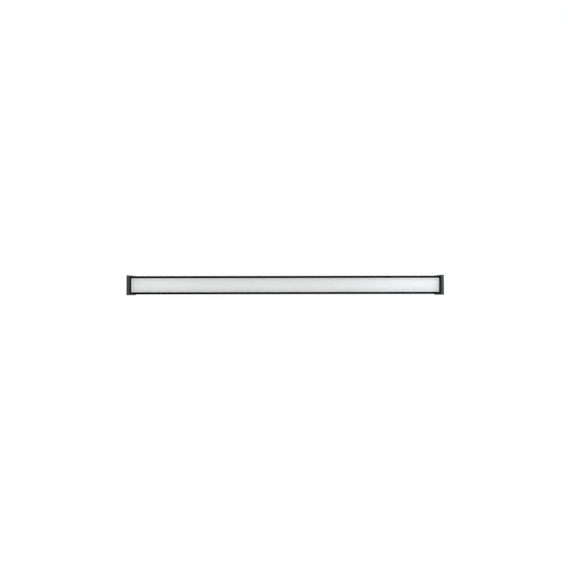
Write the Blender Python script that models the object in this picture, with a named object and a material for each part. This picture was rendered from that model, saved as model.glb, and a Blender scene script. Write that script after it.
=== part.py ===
"""A 36 inch wall light bar for over a bathroom mirror: extruded housing, opal diffuser, square end plates.

Frame: +X along the bar, +Z up, and the wall is the plane y = 0. The light faces -Y.
"Depth" is the distance in front of the wall, so a point at depth d has y = -d.
The origin is the centre of the wall bracket's rear face.
"""

import math

import bmesh
import bpy
from mathutils import Matrix, Vector

MM = 0.001
GAP = 0.3 * MM  # clearance between pieces that touch

# Driving dimensions of the outside.
LENGTH = 914.4 * MM
PLATE_SIDE = 58 * MM  # the end plates are square, and their depth is the whole object's depth
PLATE_THICK = 7.5 * MM
BAR_HEIGHT = 53.2 * MM
PLATE_PROUD = 6 * MM  # how far the end plates stand in front of the bar
LIP_HEIGHT = 6.1 * MM  # black border above and below the diffuser
END_LIP = 4.2 * MM  # black border at each end of the diffuser

# Housing extrusion, a section of walls round a web.
WALL = 2 * MM
HALF_BAR = BAR_HEIGHT / 2
INNER = HALF_BAR - WALL
BAR_FRONT = PLATE_SIDE - PLATE_PROUD
BAR_REAR = 1 * MM
WINDOW_HALF = HALF_BAR - LIP_HEIGHT
LIP_BACK = BAR_FRONT - WALL
RAIL_FRONT = LIP_BACK - 2.6 * MM  # the diffuser's flange slides between the lip and this rail
WEB_FRONT = 33 * MM
WEB_BACK = 31 * MM
PORT_PITCH = 25 * MM  # front and rear screw ports, centred on the end plate
PORT_FRONT = PLATE_SIDE / 2 + PORT_PITCH / 2
PORT_REAR = PLATE_SIDE / 2 - PORT_PITCH / 2
PORT_Z = 21.4 * MM
PORT_RADIUS = 2 * MM
PORT_SLOT = 1.5 * MM  # half the width of a port's open side
PORT_EDGE = 18.8 * MM  # inner face of the port blocks
PORT_LEDGE = 10.2 * MM  # rear face of the rear port blocks, which the back cover lies on

# Along the bar.
PLATE_INNER = LENGTH / 2 - PLATE_THICK
GASKET_THICK = 1 * MM
HOUSING_HALF = PLATE_INNER - GASKET_THICK - 2 * GAP
WINDOW_HALF_X = PLATE_INNER - END_LIP

# Wall bracket, a channel that the housing slides over.
BRACKET_HALF = 150 * MM
BRACKET_SHEET = 1.5 * MM
BRACKET_FLANGE = 6.4 * MM
BRACKET_TOP = INNER - 0.4 * MM
BRACKET_BOTTOM = -19.7 * MM
WIRE_HOLE_X = 22 * MM
WIRE_HOLE_Z = 2 * MM
WIRE_HOLE_RADIUS = 10 * MM
BOX_SLOT_X = 43 * MM
ANCHOR_SLOT_X = 132 * MM
SLOT_WIDTH = 5.2 * MM
SLOT_LENGTH = 12 * MM
BRACKET_GROUND_X = 72 * MM

# Back cover and what is behind it.
COVER_BACK = 8.9 * MM
COVER_SHEET = 1 * MM
COVER_HALF_X = 440 * MM
COVER_SCREW_X = 400 * MM
BUSHING_X = -WIRE_HOLE_X
BUSHING_HOLE = 8 * MM

DRIVER_X = -270 * MM
DRIVER_HALF_X = 75 * MM
DRIVER_HALF_Z = 17 * MM
DRIVER_SHELL = 1.2 * MM
DRIVER_BACK = 10.8 * MM
DRIVER_SPLIT = 14.4 * MM
DRIVER_FRONT = 30.4 * MM
DRIVER_TAB = 9 * MM

# Colour switch, in a window of the driver's lid.
SWITCH_X = DRIVER_X
SWITCH_TRAVEL = 2.5 * MM  # each way from the middle position
SWITCH_HALF_X = 6.4 * MM
SWITCH_HALF_Z = 2.8 * MM
SWITCH_BACK = 10.9 * MM
SWITCH_FRONT = 15 * MM
SWITCH_WALL = 0.7 * MM
KNOB_HALF_X = 1.5 * MM
KNOB_HALF_Z = 0.8 * MM
KNOB_BACK = 7.6 * MM

# Wiring between the wire entry, the driver and the boards.
WIRE_RADIUS = 1.1 * MM
LEAD_RADIUS = 0.7 * MM
MAINS_PORTS = (5 * MM, 9 * MM)  # z of the neutral and line leads at the driver's end
LEAD_PORTS = (-9 * MM, -6 * MM)  # z of the LED leads at the driver's end
PORT_DEPTH = 21 * MM
LINE_LANE = 15.4 * MM  # height of each mains lead where it runs along the web
NEUTRAL_LANE = 11.8 * MM
LANE_DEPTH = 26 * MM
CLIP_X = -100 * MM
TERMINAL_HALF_X = 10 * MM
TERMINAL_BACK = 13.6 * MM
TERMINAL_FRONT = WEB_BACK - 0.4 * MM
TERMINAL_PORTS = (-5 * MM, 0, 5 * MM)
TERMINAL_PORT_DEPTH = 22 * MM
TERMINAL_SCREW_X = BUSHING_X + 15 * MM
TERMINAL_SCREW_Z = -4 * MM
LUG_X = 28 * MM
LUG_Z = -12 * MM

SET_SCREW_X = 120 * MM
SET_SCREW_DEPTH = 4.6 * MM
SET_SCREW_RADIUS = 2 * MM

# Light engine in front of the web.
BOARD_LENGTH = 288 * MM
BOARD_GAP = 4 * MM
BOARD_HALF_Z = 11 * MM
BOARD_BACK = WEB_FRONT + GAP
BOARD_FRONT = BOARD_BACK + 1.2 * MM
LED_COUNT = 18
LED_PITCH = 16 * MM
LED_SIDE = 3 * MM
LED_HEIGHT = 0.8 * MM
BOARD_SCREW_X = 112 * MM
LEAD_SOCKET_IN = 4 * MM  # from the board's left end to its lead connector
LEAD_SOCKET_Z = 6.5 * MM
LEAD_SOCKETS = (LEAD_SOCKET_Z + 1.3 * MM, LEAD_SOCKET_Z - 1.3 * MM)
LEAD_SOCKET_DEPTH = BOARD_FRONT + 1.7 * MM
LEAD_HOLE_X = -(BOARD_LENGTH + BOARD_GAP) / 2  # between the left and centre boards

SCREW_HOLE = 1.8 * MM  # radius of the hole for a small screw
ROUND = 12  # sides of a small round piece


# ---------------------------------------------------------------- materials


def material(name, colour, roughness, metallic=0.0):
    made = bpy.data.materials.new(name)
    made.use_nodes = True
    shader = made.node_tree.nodes["Principled BSDF"]
    shader.inputs["Base Color"].default_value = (*colour, 1)
    shader.inputs["Roughness"].default_value = roughness
    shader.inputs["Metallic"].default_value = metallic
    made.diffuse_color = (*colour, 1)
    return made


def make_materials():
    return {
        "black_paint": material("black_paint", (0.012, 0.012, 0.013), 0.42),
        "opal": material("opal", (0.84, 0.85, 0.86), 0.35),
        "zinc": material("zinc", (0.62, 0.63, 0.65), 0.38, 1.0),
        "black_screw": material("black_screw", (0.02, 0.02, 0.022), 0.4, 0.6),
        "rubber": material("rubber", (0.02, 0.02, 0.02), 0.8),
        "white_board": material("white_board", (0.86, 0.87, 0.85), 0.45),
        "green_board": material("green_board", (0.03, 0.16, 0.07), 0.4),
        "white_paint": material("white_paint", (0.88, 0.88, 0.87), 0.5),
        "white_plastic": material("white_plastic", (0.8, 0.8, 0.78), 0.45),
        "grey_plastic": material("grey_plastic", (0.25, 0.26, 0.27), 0.5),
        "green_screw": material("green_screw", (0.04, 0.3, 0.09), 0.35, 0.7),
        "nylon": material("nylon", (0.75, 0.73, 0.66), 0.5),
        "brass": material("brass", (0.75, 0.55, 0.25), 0.35, 1.0),
        "black_wire": material("black_wire", (0.02, 0.02, 0.02), 0.5),
        "white_wire": material("white_wire", (0.8, 0.8, 0.78), 0.5),
        "green_wire": material("green_wire", (0.03, 0.28, 0.08), 0.5),
        "red_wire": material("red_wire", (0.5, 0.03, 0.03), 0.5),
        "blue_wire": material("blue_wire", (0.04, 0.08, 0.4), 0.5),
    }


# ---------------------------------------------------------------- modelling tools


def point(x, depth, z):
    return Vector((x, -depth, z))


def finish_mesh(name, bm):
    """The bmesh as a mesh object with its faces pointing out."""
    bmesh.ops.recalc_face_normals(bm, faces=bm.faces)
    mesh = bpy.data.meshes.new(name)
    bm.to_mesh(mesh)
    bm.free()
    made = bpy.data.objects.new(name, mesh)
    bpy.context.scene.collection.objects.link(made)
    return made


def bridge(bm, rings, closed):
    """Quads between each ring of vertices and the next. The ends are capped unless the rings are closed."""
    pairs = list(zip(rings, rings[1:]))
    if closed:
        pairs.append((rings[-1], rings[0]))
    else:
        bm.faces.new(rings[0])
        bm.faces.new(rings[-1])
    for near, far in pairs:
        count = len(near)
        for i in range(count):
            j = (i + 1) % count
            bm.faces.new((near[i], near[j], far[j], far[i]))


def rings_object(name, loops, closed=False):
    bm = bmesh.new()
    rings = [[bm.verts.new(p) for p in loop] for loop in loops]
    bridge(bm, rings, closed)
    return finish_mesh(name, bm)


def prism(name, outline, x0, x1):
    """An outline of (depth, z) points, extruded along the bar from x0 to x1."""
    return rings_object(name, [[point(x, d, z) for d, z in outline] for x in (x0, x1)])


def box(name, x, depth, z):
    """A block from its (low, high) extents."""
    corners = [(depth[0], z[0]), (depth[1], z[0]), (depth[1], z[1]), (depth[0], z[1])]
    return prism(name, corners, *x)


def circle(radius, height, sides=ROUND, hexagonal=False):
    """A ring of points round +Z. A hexagonal ring lies on a hexagon whose corners are at radius."""
    points = []
    for i in range(sides):
        angle = 2 * math.pi * i / sides
        reach = radius
        if hexagonal:
            from_corner = angle % (math.pi / 3) - math.pi / 6
            reach = radius * math.cos(math.pi / 6) / math.cos(from_corner)
        points.append(Vector((reach * math.cos(angle), reach * math.sin(angle), height)))
    return points


def lathe(name, profile, sides=ROUND, closed=False):
    """A turned piece about +Z from (radius, height) or (radius, height, "hex") steps."""
    return rings_object(name, [circle(p[0], p[1], sides, len(p) > 2) for p in profile], closed)


def rounded_rectangle(half_x, half_z, depth, radius, steps=3):
    """A ring of points in a plane parallel to the wall."""
    points = []
    for sx, sz, start in ((1, 1, 0), (-1, 1, 90), (-1, -1, 180), (1, -1, 270)):
        for i in range(steps + 1):
            angle = math.radians(start + 90 * i / steps)
            x = sx * (half_x - radius) + radius * math.cos(angle)
            z = sz * (half_z - radius) + radius * math.sin(angle)
            points.append(point(x, depth, z))
    return points


def drill(bm, centre, axis, radius, length, sides=16):
    """Adds a closed cylinder to a cutter, centred on a point and running along an axis."""
    turn = Vector((0, 0, 1)).rotation_difference(Vector(axis)).to_matrix().to_4x4()
    bmesh.ops.create_cone(
        bm,
        cap_ends=True,
        segments=sides,
        radius1=radius,
        radius2=radius,
        depth=length,
        matrix=Matrix.Translation(centre) @ turn,
    )


def slot_cut(bm, x, z, length, width, depth, through):
    """Adds a round-ended slot, long along the bar, that goes through a sheet at this depth."""
    steps = 6
    reach = length / 2 - width / 2
    outline = []
    for side, start in ((1, -90), (-1, 90)):
        for i in range(steps + 1):
            angle = math.radians(start + 180 * i / steps)
            outline.append(
                (x + side * reach + width / 2 * math.cos(angle), z + width / 2 * math.sin(angle))
            )
    rings = [[bm.verts.new(point(u, d, w)) for u, w in outline] for d in (depth - through, depth + through)]
    bridge(bm, rings, closed=False)


def block_cut(bm, x, depth, z):
    """Adds a rectangular block, given by its extents, to a cutter."""
    middle = point(sum(x) / 2, sum(depth) / 2, sum(z) / 2)
    size = (x[1] - x[0], depth[1] - depth[0], z[1] - z[0])
    bmesh.ops.create_cube(bm, size=1, matrix=Matrix.Translation(middle) @ Matrix.Diagonal((*size, 1)))


def boolean(obj, bm, operation="DIFFERENCE"):
    """Cuts or joins the shapes in a bmesh, as a Boolean modifier with a hidden helper."""
    helper = finish_mesh(obj.name + "_" + operation.lower(), bm)
    helper.hide_render = True
    helper.display_type = "WIRE"
    modifier = obj.modifiers.new(operation.title(), "BOOLEAN")
    modifier.operation = operation
    modifier.object = helper
    modifier.use_self = True
    return obj


def bevel(obj, width, segments=2):
    modifier = obj.modifiers.new("Bevel", "BEVEL")
    modifier.width = width
    modifier.segments = segments
    modifier.limit_method = "ANGLE"
    modifier.angle_limit = math.radians(40)
    return obj


def finish(obj, frame, surface, smooth=False):
    """Gives a piece its material and hangs it on its body's empty, keeping its place."""
    obj.data.materials.append(surface)
    if smooth:
        obj.data.shade_smooth()
        obj.data.set_sharp_from_angle(angle=math.radians(35))
    obj.parent = frame
    obj.matrix_parent_inverse = frame.matrix_world.inverted()
    return obj


def empty(name, location=(0, 0, 0)):
    made = bpy.data.objects.new(name, None)
    made.location = location
    made.empty_display_size = 0.02
    bpy.context.scene.collection.objects.link(made)
    bpy.context.view_layer.update()
    return made


def aim(obj, location, direction):
    """Puts a turned piece in place, with its own +Z along a direction."""
    obj.location = location
    obj.rotation_mode = "QUATERNION"
    obj.rotation_quaternion = Vector((0, 0, 1)).rotation_difference(Vector(direction))
    return obj


def pan_screw(name, head_radius, head_height, shank_radius, shank_length):
    """A pan-head screw: the underside of its head is at the origin, and its shank points down -Z."""
    socket = head_radius * 0.5
    return lathe(
        name,
        [
            (socket, head_height * 0.35, "hex"),
            (socket, head_height, "hex"),
            (head_radius * 0.75, head_height),
            (head_radius, head_height * 0.6),
            (head_radius, 0),
            (shank_radius, 0),
            (shank_radius, -shank_length + shank_radius * 0.6),
            (shank_radius * 0.4, -shank_length),
        ],
    )


def flat_screw(name, head_radius, head_height, shank_radius, shank_length):
    """A countersunk screw: the top of its head is at the origin, and its shank points down -Z."""
    socket = head_radius * 0.45
    return lathe(
        name,
        [
            (socket, -head_height * 0.8, "hex"),
            (socket, 0, "hex"),
            (head_radius, 0),
            (head_radius, -0.3 * MM),
            (shank_radius, -head_height),
            (shank_radius, -shank_length + shank_radius),
            (shank_radius * 0.4, -shank_length),
        ],
    )


def smooth_route(corners, spacing):
    """Points along a Catmull-Rom curve through the corners, about one for each spacing of length."""
    ends = [2 * corners[0] - corners[1], *corners, 2 * corners[-1] - corners[-2]]
    points = []
    for a, b, c, d in zip(ends, ends[1:], ends[2:], ends[3:]):
        steps = max(2, round((c - b).length / spacing))
        for i in range(steps):
            t = i / steps
            points.append(
                0.5
                * (
                    2 * b
                    + (c - a) * t
                    + (2 * a - 5 * b + 4 * c - d) * t * t
                    + (3 * b - a - 3 * c + d) * t * t * t
                )
            )
    return [*points, corners[-1]]


def wire(name, corners, radius):
    """A round insulated wire through these points."""
    curve = bpy.data.curves.new(name, "CURVE")
    curve.dimensions = "3D"
    curve.bevel_depth = radius
    curve.bevel_resolution = 2
    curve.use_fill_caps = True
    route = smooth_route(corners, 6 * radius)
    spline = curve.splines.new("POLY")
    spline.points.add(len(route) - 1)
    for target, p in zip(spline.points, route):
        target.co = (*p, 1)
    made = bpy.data.objects.new(name, curve)
    bpy.context.scene.collection.objects.link(made)
    return made


# ---------------------------------------------------------------- wall bracket


def wall_bracket(frame, looks):
    inner_top = BRACKET_TOP - BRACKET_SHEET
    inner_bottom = BRACKET_BOTTOM + BRACKET_SHEET
    outline = [
        (0, BRACKET_BOTTOM),
        (BRACKET_FLANGE, BRACKET_BOTTOM),
        (BRACKET_FLANGE, inner_bottom),
        (BRACKET_SHEET, inner_bottom),
        (BRACKET_SHEET, inner_top),
        (BRACKET_FLANGE, inner_top),
        (BRACKET_FLANGE, BRACKET_TOP),
        (0, BRACKET_TOP),
    ]
    plate = prism("wall_bracket", outline, -BRACKET_HALF, BRACKET_HALF)
    cutter = bmesh.new()
    for side in (-1, 1):
        centre = point(side * WIRE_HOLE_X, BRACKET_SHEET / 2, WIRE_HOLE_Z)
        drill(cutter, centre, (0, 1, 0), WIRE_HOLE_RADIUS, 4 * BRACKET_SHEET, 24)
        for x in (BOX_SLOT_X, ANCHOR_SLOT_X):
            slot_cut(
                cutter, side * x, WIRE_HOLE_Z, SLOT_LENGTH, SLOT_WIDTH, BRACKET_SHEET / 2, 2 * BRACKET_SHEET
            )
    ground = point(BRACKET_GROUND_X, BRACKET_SHEET / 2, WIRE_HOLE_Z)
    drill(cutter, ground, (0, 1, 0), 2.7 * MM, 4 * BRACKET_SHEET)
    finish(boolean(plate, cutter), frame, looks["zinc"])

    screw = pan_screw("bracket_ground_screw", 4.4 * MM, 2.6 * MM, 2.3 * MM, BRACKET_SHEET)
    seat = point(BRACKET_GROUND_X, BRACKET_SHEET + GAP, WIRE_HOLE_Z)
    finish(aim(screw, seat, (0, -1, 0)), frame, looks["green_screw"])


# ---------------------------------------------------------------- housing


def port_arc(depth, z, open_toward, steps=10):
    """The round wall of a screw port, from one side of its slot to the other. open_toward is an angle."""
    half_open = math.asin(PORT_SLOT / PORT_RADIUS)
    start = open_toward + half_open
    sweep = 2 * math.pi - 2 * half_open
    return [
        (
            depth + PORT_RADIUS * math.cos(start + sweep * i / steps),
            z + PORT_RADIUS * math.sin(start + sweep * i / steps),
        )
        for i in range(steps + 1)
    ]


def front_chamber():
    """The upper half of the light chamber's wall, from the lip's front corner to the web."""
    block_back = PORT_FRONT - PORT_RADIUS - 1 * MM
    return [
        (BAR_FRONT, WINDOW_HALF),
        (LIP_BACK, WINDOW_HALF),
        (LIP_BACK, INNER),
        (RAIL_FRONT, INNER),
        (RAIL_FRONT, PORT_EDGE),
        (PORT_FRONT + PORT_SLOT, PORT_EDGE),
        *port_arc(PORT_FRONT, PORT_Z, -math.pi / 2),
        (PORT_FRONT - PORT_SLOT, PORT_EDGE),
        (block_back, PORT_EDGE),
        (block_back, INNER),
        (WEB_FRONT, INNER),
    ]


def rear_chamber():
    """The upper half of the driver chamber's wall, from the web to the housing's rear edge."""
    block_front = PORT_REAR + PORT_RADIUS + 0.8 * MM
    return [
        (WEB_BACK, INNER),
        (block_front, INNER),
        (block_front, PORT_EDGE),
        (PORT_LEDGE, PORT_EDGE),
        (PORT_LEDGE, PORT_Z - PORT_SLOT),
        *port_arc(PORT_REAR, PORT_Z, math.pi),
        (PORT_LEDGE, PORT_Z + PORT_SLOT),
        (PORT_LEDGE, INNER),
        (BAR_REAR, INNER),
    ]


def mirrored(half):
    return [(d, -z) for d, z in reversed(half)]


def housing(frame, looks):
    chamfer = 0.6 * MM
    outline = [
        *front_chamber(),
        *mirrored(front_chamber()),
        (BAR_FRONT, chamfer - HALF_BAR),
        (BAR_FRONT - chamfer, -HALF_BAR),
        (BAR_REAR, -HALF_BAR),
        *mirrored(rear_chamber()),
        *rear_chamber(),
        (BAR_REAR, HALF_BAR),
        (BAR_FRONT - chamfer, HALF_BAR),
        (BAR_FRONT, HALF_BAR - chamfer),
    ]
    shell = prism("housing", outline, -HOUSING_HALF, HOUSING_HALF)
    cutter = bmesh.new()
    for x, z, radius in web_holes():
        drill(cutter, point(x, (WEB_FRONT + WEB_BACK) / 2, z), (0, 1, 0), radius, 4 * WALL, ROUND)
    for side in (-1, 1):
        nut = point(side * SET_SCREW_X, SET_SCREW_DEPTH, -HALF_BAR + WALL / 2)
        drill(cutter, nut, (0, 0, 1), 3.4 * MM, 3 * WALL)
    finish(boolean(shell, cutter), frame, looks["black_paint"])


# ---------------------------------------------------------------- end plates


def port_places():
    return [(depth, side * PORT_Z) for depth in (PORT_REAR, PORT_FRONT) for side in (-1, 1)]


def end_plate(frame, looks, side, word):
    """A square plate, with a ledge inside it that closes the end of the diffuser's window."""
    half = PLATE_SIDE / 2
    outer = side * LENGTH / 2
    inner = side * PLATE_INNER
    plate = box(f"end_plate_{word}", sorted((outer, inner)), (0, PLATE_SIDE), (-half, half))
    bevel(plate, 0.8 * MM)
    ledge = bmesh.new()
    tip = side * (WINDOW_HALF_X + GAP)
    root = inner + side * 2 * MM
    block_cut(
        ledge,
        sorted((tip, root)),
        (LIP_BACK, BAR_FRONT - 0.1 * MM),
        (GAP - WINDOW_HALF, WINDOW_HALF - GAP),
    )
    boolean(plate, ledge, "UNION")
    cutter = bmesh.new()
    sink_depth = 2.4 * MM
    for depth, z in port_places():
        middle = point((outer + inner) / 2, depth, z)
        drill(cutter, middle, (1, 0, 0), 2 * MM, 3 * PLATE_THICK, ROUND)
    boolean(plate, cutter)
    sinks = bmesh.new()
    for depth, z in port_places():
        turn = Vector((0, 0, 1)).rotation_difference(Vector((side, 0, 0))).to_matrix().to_4x4()
        place = Matrix.Translation(point(outer - side * (sink_depth / 2 - 0.1 * MM), depth, z))
        bmesh.ops.create_cone(
            sinks,
            cap_ends=True,
            segments=16,
            radius1=1.6 * MM,
            radius2=3.9 * MM,
            depth=sink_depth,
            matrix=place @ turn,
        )
    boolean(plate, sinks)
    finish(plate, frame, looks["black_paint"])


def end_gasket(frame, looks, side, word):
    near = PLATE_INNER - GAP
    edge = HALF_BAR - 0.4 * MM
    notch = WINDOW_HALF + 0.2 * MM
    front = BAR_FRONT - 0.4 * MM
    outline = [
        (BAR_REAR + 0.4 * MM, -edge),
        (front, -edge),
        (front, -notch),
        (LIP_BACK - 0.4 * MM, -notch),
        (LIP_BACK - 0.4 * MM, notch),
        (front, notch),
        (front, edge),
        (BAR_REAR + 0.4 * MM, edge),
    ]
    gasket = prism(f"end_gasket_{word}", outline, *sorted((side * near, side * (near - GASKET_THICK))))
    cutter = bmesh.new()
    for depth, z in port_places():
        drill(cutter, point(side * near, depth, z), (1, 0, 0), 2.4 * MM, 6 * GASKET_THICK, ROUND)
    finish(boolean(gasket, cutter), frame, looks["rubber"])


def end_screws(frame, looks, side, word):
    for number, (depth, z) in enumerate(port_places(), 1):
        screw = flat_screw(f"end_screw_{word}_{number}", 3 * MM, 1.7 * MM, 1.55 * MM, 15 * MM)
        head = point(side * (LENGTH / 2 - 0.15 * MM), depth, z)
        finish(aim(screw, head, (side, 0, 0)), frame, looks["black_screw"], smooth=True)


# ---------------------------------------------------------------- diffuser and light engine


def diffuser(frame, looks):
    """A tray of opal acrylic: a flange behind the lips, a border, and a panel raised inside a fine step."""
    flange_back = RAIL_FRONT + GAP
    flange_front = LIP_BACK - GAP
    border = BAR_FRONT - 1 * MM
    panel = BAR_FRONT - 0.4 * MM
    step = 5.3 * MM
    side_x = WINDOW_HALF_X
    side_z = WINDOW_HALF - GAP
    rings = [
        (side_x - 2 * MM, side_z - 2 * MM, border - 2 * MM, 1 * MM),
        (side_x - 2 * MM, side_z - 2 * MM, flange_back, 1 * MM),
        (HOUSING_HALF, INNER - 0.4 * MM, flange_back, 0.5 * MM),
        (HOUSING_HALF, INNER - 0.4 * MM, flange_front, 0.5 * MM),
        (side_x, side_z, flange_front, 0.5 * MM),
        (side_x, side_z, border, 0.5 * MM),
        (side_x - step, side_z - step, border, 0.5 * MM),
        (side_x - step - 0.5 * MM, side_z - step - 0.5 * MM, panel, 0.5 * MM),
    ]
    tray = rings_object("diffuser", [rounded_rectangle(x, z, d, r) for x, z, d, r in rings])
    finish(tray, frame, looks["opal"])


def reflector(frame, looks):
    """A white trough round the LED boards, with a long window in its base."""
    base = WEB_FRONT + 0.4 * MM
    sheet = 0.5 * MM
    top = RAIL_FRONT - 0.5 * MM
    slot_x, slot_z = 437.2 * MM, BOARD_HALF_Z + 1.2 * MM
    wall_x, wall_z = 443 * MM, PORT_EDGE - GAP
    rings = [
        (slot_x, slot_z, base),
        (wall_x, wall_z, base),
        (wall_x, wall_z, top),
        (wall_x - sheet, wall_z - sheet, top),
        (wall_x - sheet, wall_z - sheet, base + sheet),
        (slot_x, slot_z, base + sheet),
    ]
    trough = rings_object(
        "reflector", [rounded_rectangle(x, z, d, 0.4 * MM, 1) for x, z, d in rings], closed=True
    )
    finish(trough, frame, looks["white_paint"])


def board_centres():
    return {
        word: place * (BOARD_LENGTH + BOARD_GAP)
        for word, place in (("left", -1), ("centre", 0), ("right", 1))
    }


def led_board(frame, looks, word, centre):
    """An aluminium-core board with its LED packages and its edge connectors soldered on."""
    half = BOARD_LENGTH / 2
    board = box(
        f"led_board_{word}",
        (centre - half, centre + half),
        (BOARD_BACK, BOARD_FRONT),
        (-BOARD_HALF_Z, BOARD_HALF_Z),
    )
    parts = bmesh.new()
    root = BOARD_FRONT - 0.2 * MM
    for i in range(LED_COUNT):
        x = centre + (i - (LED_COUNT - 1) / 2) * LED_PITCH
        block_cut(
            parts,
            (x - LED_SIDE / 2, x + LED_SIDE / 2),
            (root, BOARD_FRONT + LED_HEIGHT),
            (-LED_SIDE / 2, LED_SIDE / 2),
        )
    for side in (-1, 1):
        x = centre + side * (half - 3 * MM)
        block_cut(parts, (x - 2.4 * MM, x + 2.4 * MM), (root, BOARD_FRONT + 2.2 * MM), (-9 * MM, -4 * MM))
    socket = centre - half + LEAD_SOCKET_IN
    block_cut(
        parts,
        (socket, socket + 6 * MM),
        (root, BOARD_FRONT + 3.2 * MM),
        (LEAD_SOCKET_Z - 3 * MM, LEAD_SOCKET_Z + 3 * MM),
    )
    boolean(board, parts, "UNION")
    holes = bmesh.new()
    for z in LEAD_SOCKETS:
        drill(holes, point(socket, LEAD_SOCKET_DEPTH, z), (1, 0, 0), LEAD_RADIUS + GAP, 7 * MM, ROUND)
    for side in (-1, 1):
        screw_hole = point(centre + side * BOARD_SCREW_X, BOARD_FRONT, 0)
        drill(holes, screw_hole, (0, 1, 0), SCREW_HOLE, 6 * MM, ROUND)
    boolean(board, holes)
    finish(board, frame, looks["white_board"])
    for number, side in enumerate((-1, 1), 1):
        screw = pan_screw(f"led_board_screw_{word}_{number}", 2.6 * MM, 1.7 * MM, 1.4 * MM, 4.6 * MM)
        seat = point(centre + side * BOARD_SCREW_X, BOARD_FRONT + GAP, 0)
        finish(aim(screw, seat, (0, -1, 0)), frame, looks["zinc"], smooth=True)


def board_link(frame, looks, word, x):
    """A plug that joins the edge connectors of two neighbouring boards."""
    low = BOARD_FRONT + 2.5 * MM
    bridge_top = low + 1.6 * MM
    reach = 5.2 * MM
    leg = BOARD_GAP / 2 - 0.4 * MM
    foot = BOARD_FRONT + 0.5 * MM
    outline_points = [
        (-reach, low),
        (-leg, low),
        (-leg, foot),
        (leg, foot),
        (leg, low),
        (reach, low),
        (reach, bridge_top),
        (-reach, bridge_top),
    ]
    loops = [[point(x + u, d, z) for u, d in outline_points] for z in (-8.4 * MM, -4.6 * MM)]
    finish(rings_object(f"board_link_{word}", loops), frame, looks["white_plastic"])


# ---------------------------------------------------------------- back cover and wiring


def cover_screw_places():
    return [(sx * COVER_SCREW_X, sz * PORT_Z) for sx in (-1, 1) for sz in (-1, 1)]


def back_cover(frame, looks):
    edge = INNER - 0.6 * MM
    depth = (COVER_BACK, COVER_BACK + COVER_SHEET)
    cover = box("back_cover", (-COVER_HALF_X, COVER_HALF_X), depth, (-edge, edge))
    cutter = bmesh.new()
    drill(cutter, point(BUSHING_X, COVER_BACK, WIRE_HOLE_Z), (0, 1, 0), BUSHING_HOLE, 6 * COVER_SHEET, 24)
    for x, z in cover_screw_places():
        drill(cutter, point(x, COVER_BACK, z), (0, 1, 0), 1.6 * MM, 6 * COVER_SHEET, ROUND)
    block_cut(
        cutter,
        (SWITCH_X - 7 * MM, SWITCH_X + 7 * MM),
        (COVER_BACK - 2 * COVER_SHEET, COVER_BACK + 2 * COVER_SHEET),
        (-3 * MM, 3 * MM),
    )
    finish(boolean(cover, cutter), frame, looks["zinc"])
    for number, (x, z) in enumerate(cover_screw_places(), 1):
        screw = pan_screw(f"back_cover_screw_{number}", 2.3 * MM, 1.5 * MM, 1.1 * MM, 5.8 * MM)
        finish(aim(screw, point(x, COVER_BACK - GAP, z), (0, 1, 0)), frame, looks["zinc"], smooth=True)


def wire_bushing(frame, looks):
    """A snap bushing that lines the wire entry. Its own +Z points to the wall."""
    bore = 5.8 * MM
    neck = BUSHING_HOLE - 0.4 * MM
    sheet = COVER_SHEET
    profile = [
        (bore, 1.5 * MM),
        (neck + 2.6 * MM, 1.1 * MM),
        (neck + 2.6 * MM, GAP),
        (neck, GAP),
        (neck, -sheet - GAP),
        (neck + 0.9 * MM, -sheet - GAP),
        (neck + 0.2 * MM, -sheet - 1.4 * MM),
        (bore, -sheet - 1.4 * MM),
    ]
    bushing = lathe("wire_bushing", profile, 24, closed=True)
    seat = point(BUSHING_X, COVER_BACK, WIRE_HOLE_Z)
    finish(aim(bushing, seat, (0, 1, 0)), frame, looks["rubber"], smooth=True)


def terminal_block(frame, looks):
    """A push-in connector: three supply ports facing the wire entry, and three lead ports at its side."""
    low, high = BUSHING_X - TERMINAL_HALF_X, BUSHING_X + TERMINAL_HALF_X
    block = box("terminal_block", (low, high), (TERMINAL_BACK, TERMINAL_FRONT), (-7.5 * MM, 11.5 * MM))
    foot = bmesh.new()
    block_cut(
        foot,
        (high - 1 * MM, TERMINAL_SCREW_X + 4 * MM),
        (TERMINAL_FRONT - 1.6 * MM, TERMINAL_FRONT),
        (TERMINAL_SCREW_Z - 3 * MM, TERMINAL_SCREW_Z + 3 * MM),
    )
    boolean(block, foot, "UNION")
    cutter = bmesh.new()
    for offset in TERMINAL_PORTS:
        supply = point(BUSHING_X + offset * 1.2, TERMINAL_BACK, WIRE_HOLE_Z)
        drill(cutter, supply, (0, 1, 0), 1.7 * MM, 10 * MM, ROUND)
        lead = point(low, TERMINAL_PORT_DEPTH, WIRE_HOLE_Z + offset)
        drill(cutter, lead, (1, 0, 0), 1.6 * MM, 8 * MM, ROUND)
    screw_hole = point(TERMINAL_SCREW_X, TERMINAL_FRONT, TERMINAL_SCREW_Z)
    drill(cutter, screw_hole, (0, 1, 0), SCREW_HOLE, 6 * MM, ROUND)
    finish(boolean(block, cutter), frame, looks["grey_plastic"])
    screw = pan_screw("terminal_block_screw", 2.5 * MM, 1.6 * MM, 1.4 * MM, 4 * MM)
    seat = screw_hole + Vector((0, 1.6 * MM + GAP, 0))
    finish(aim(screw, seat, (0, 1, 0)), frame, looks["zinc"], smooth=True)


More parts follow.
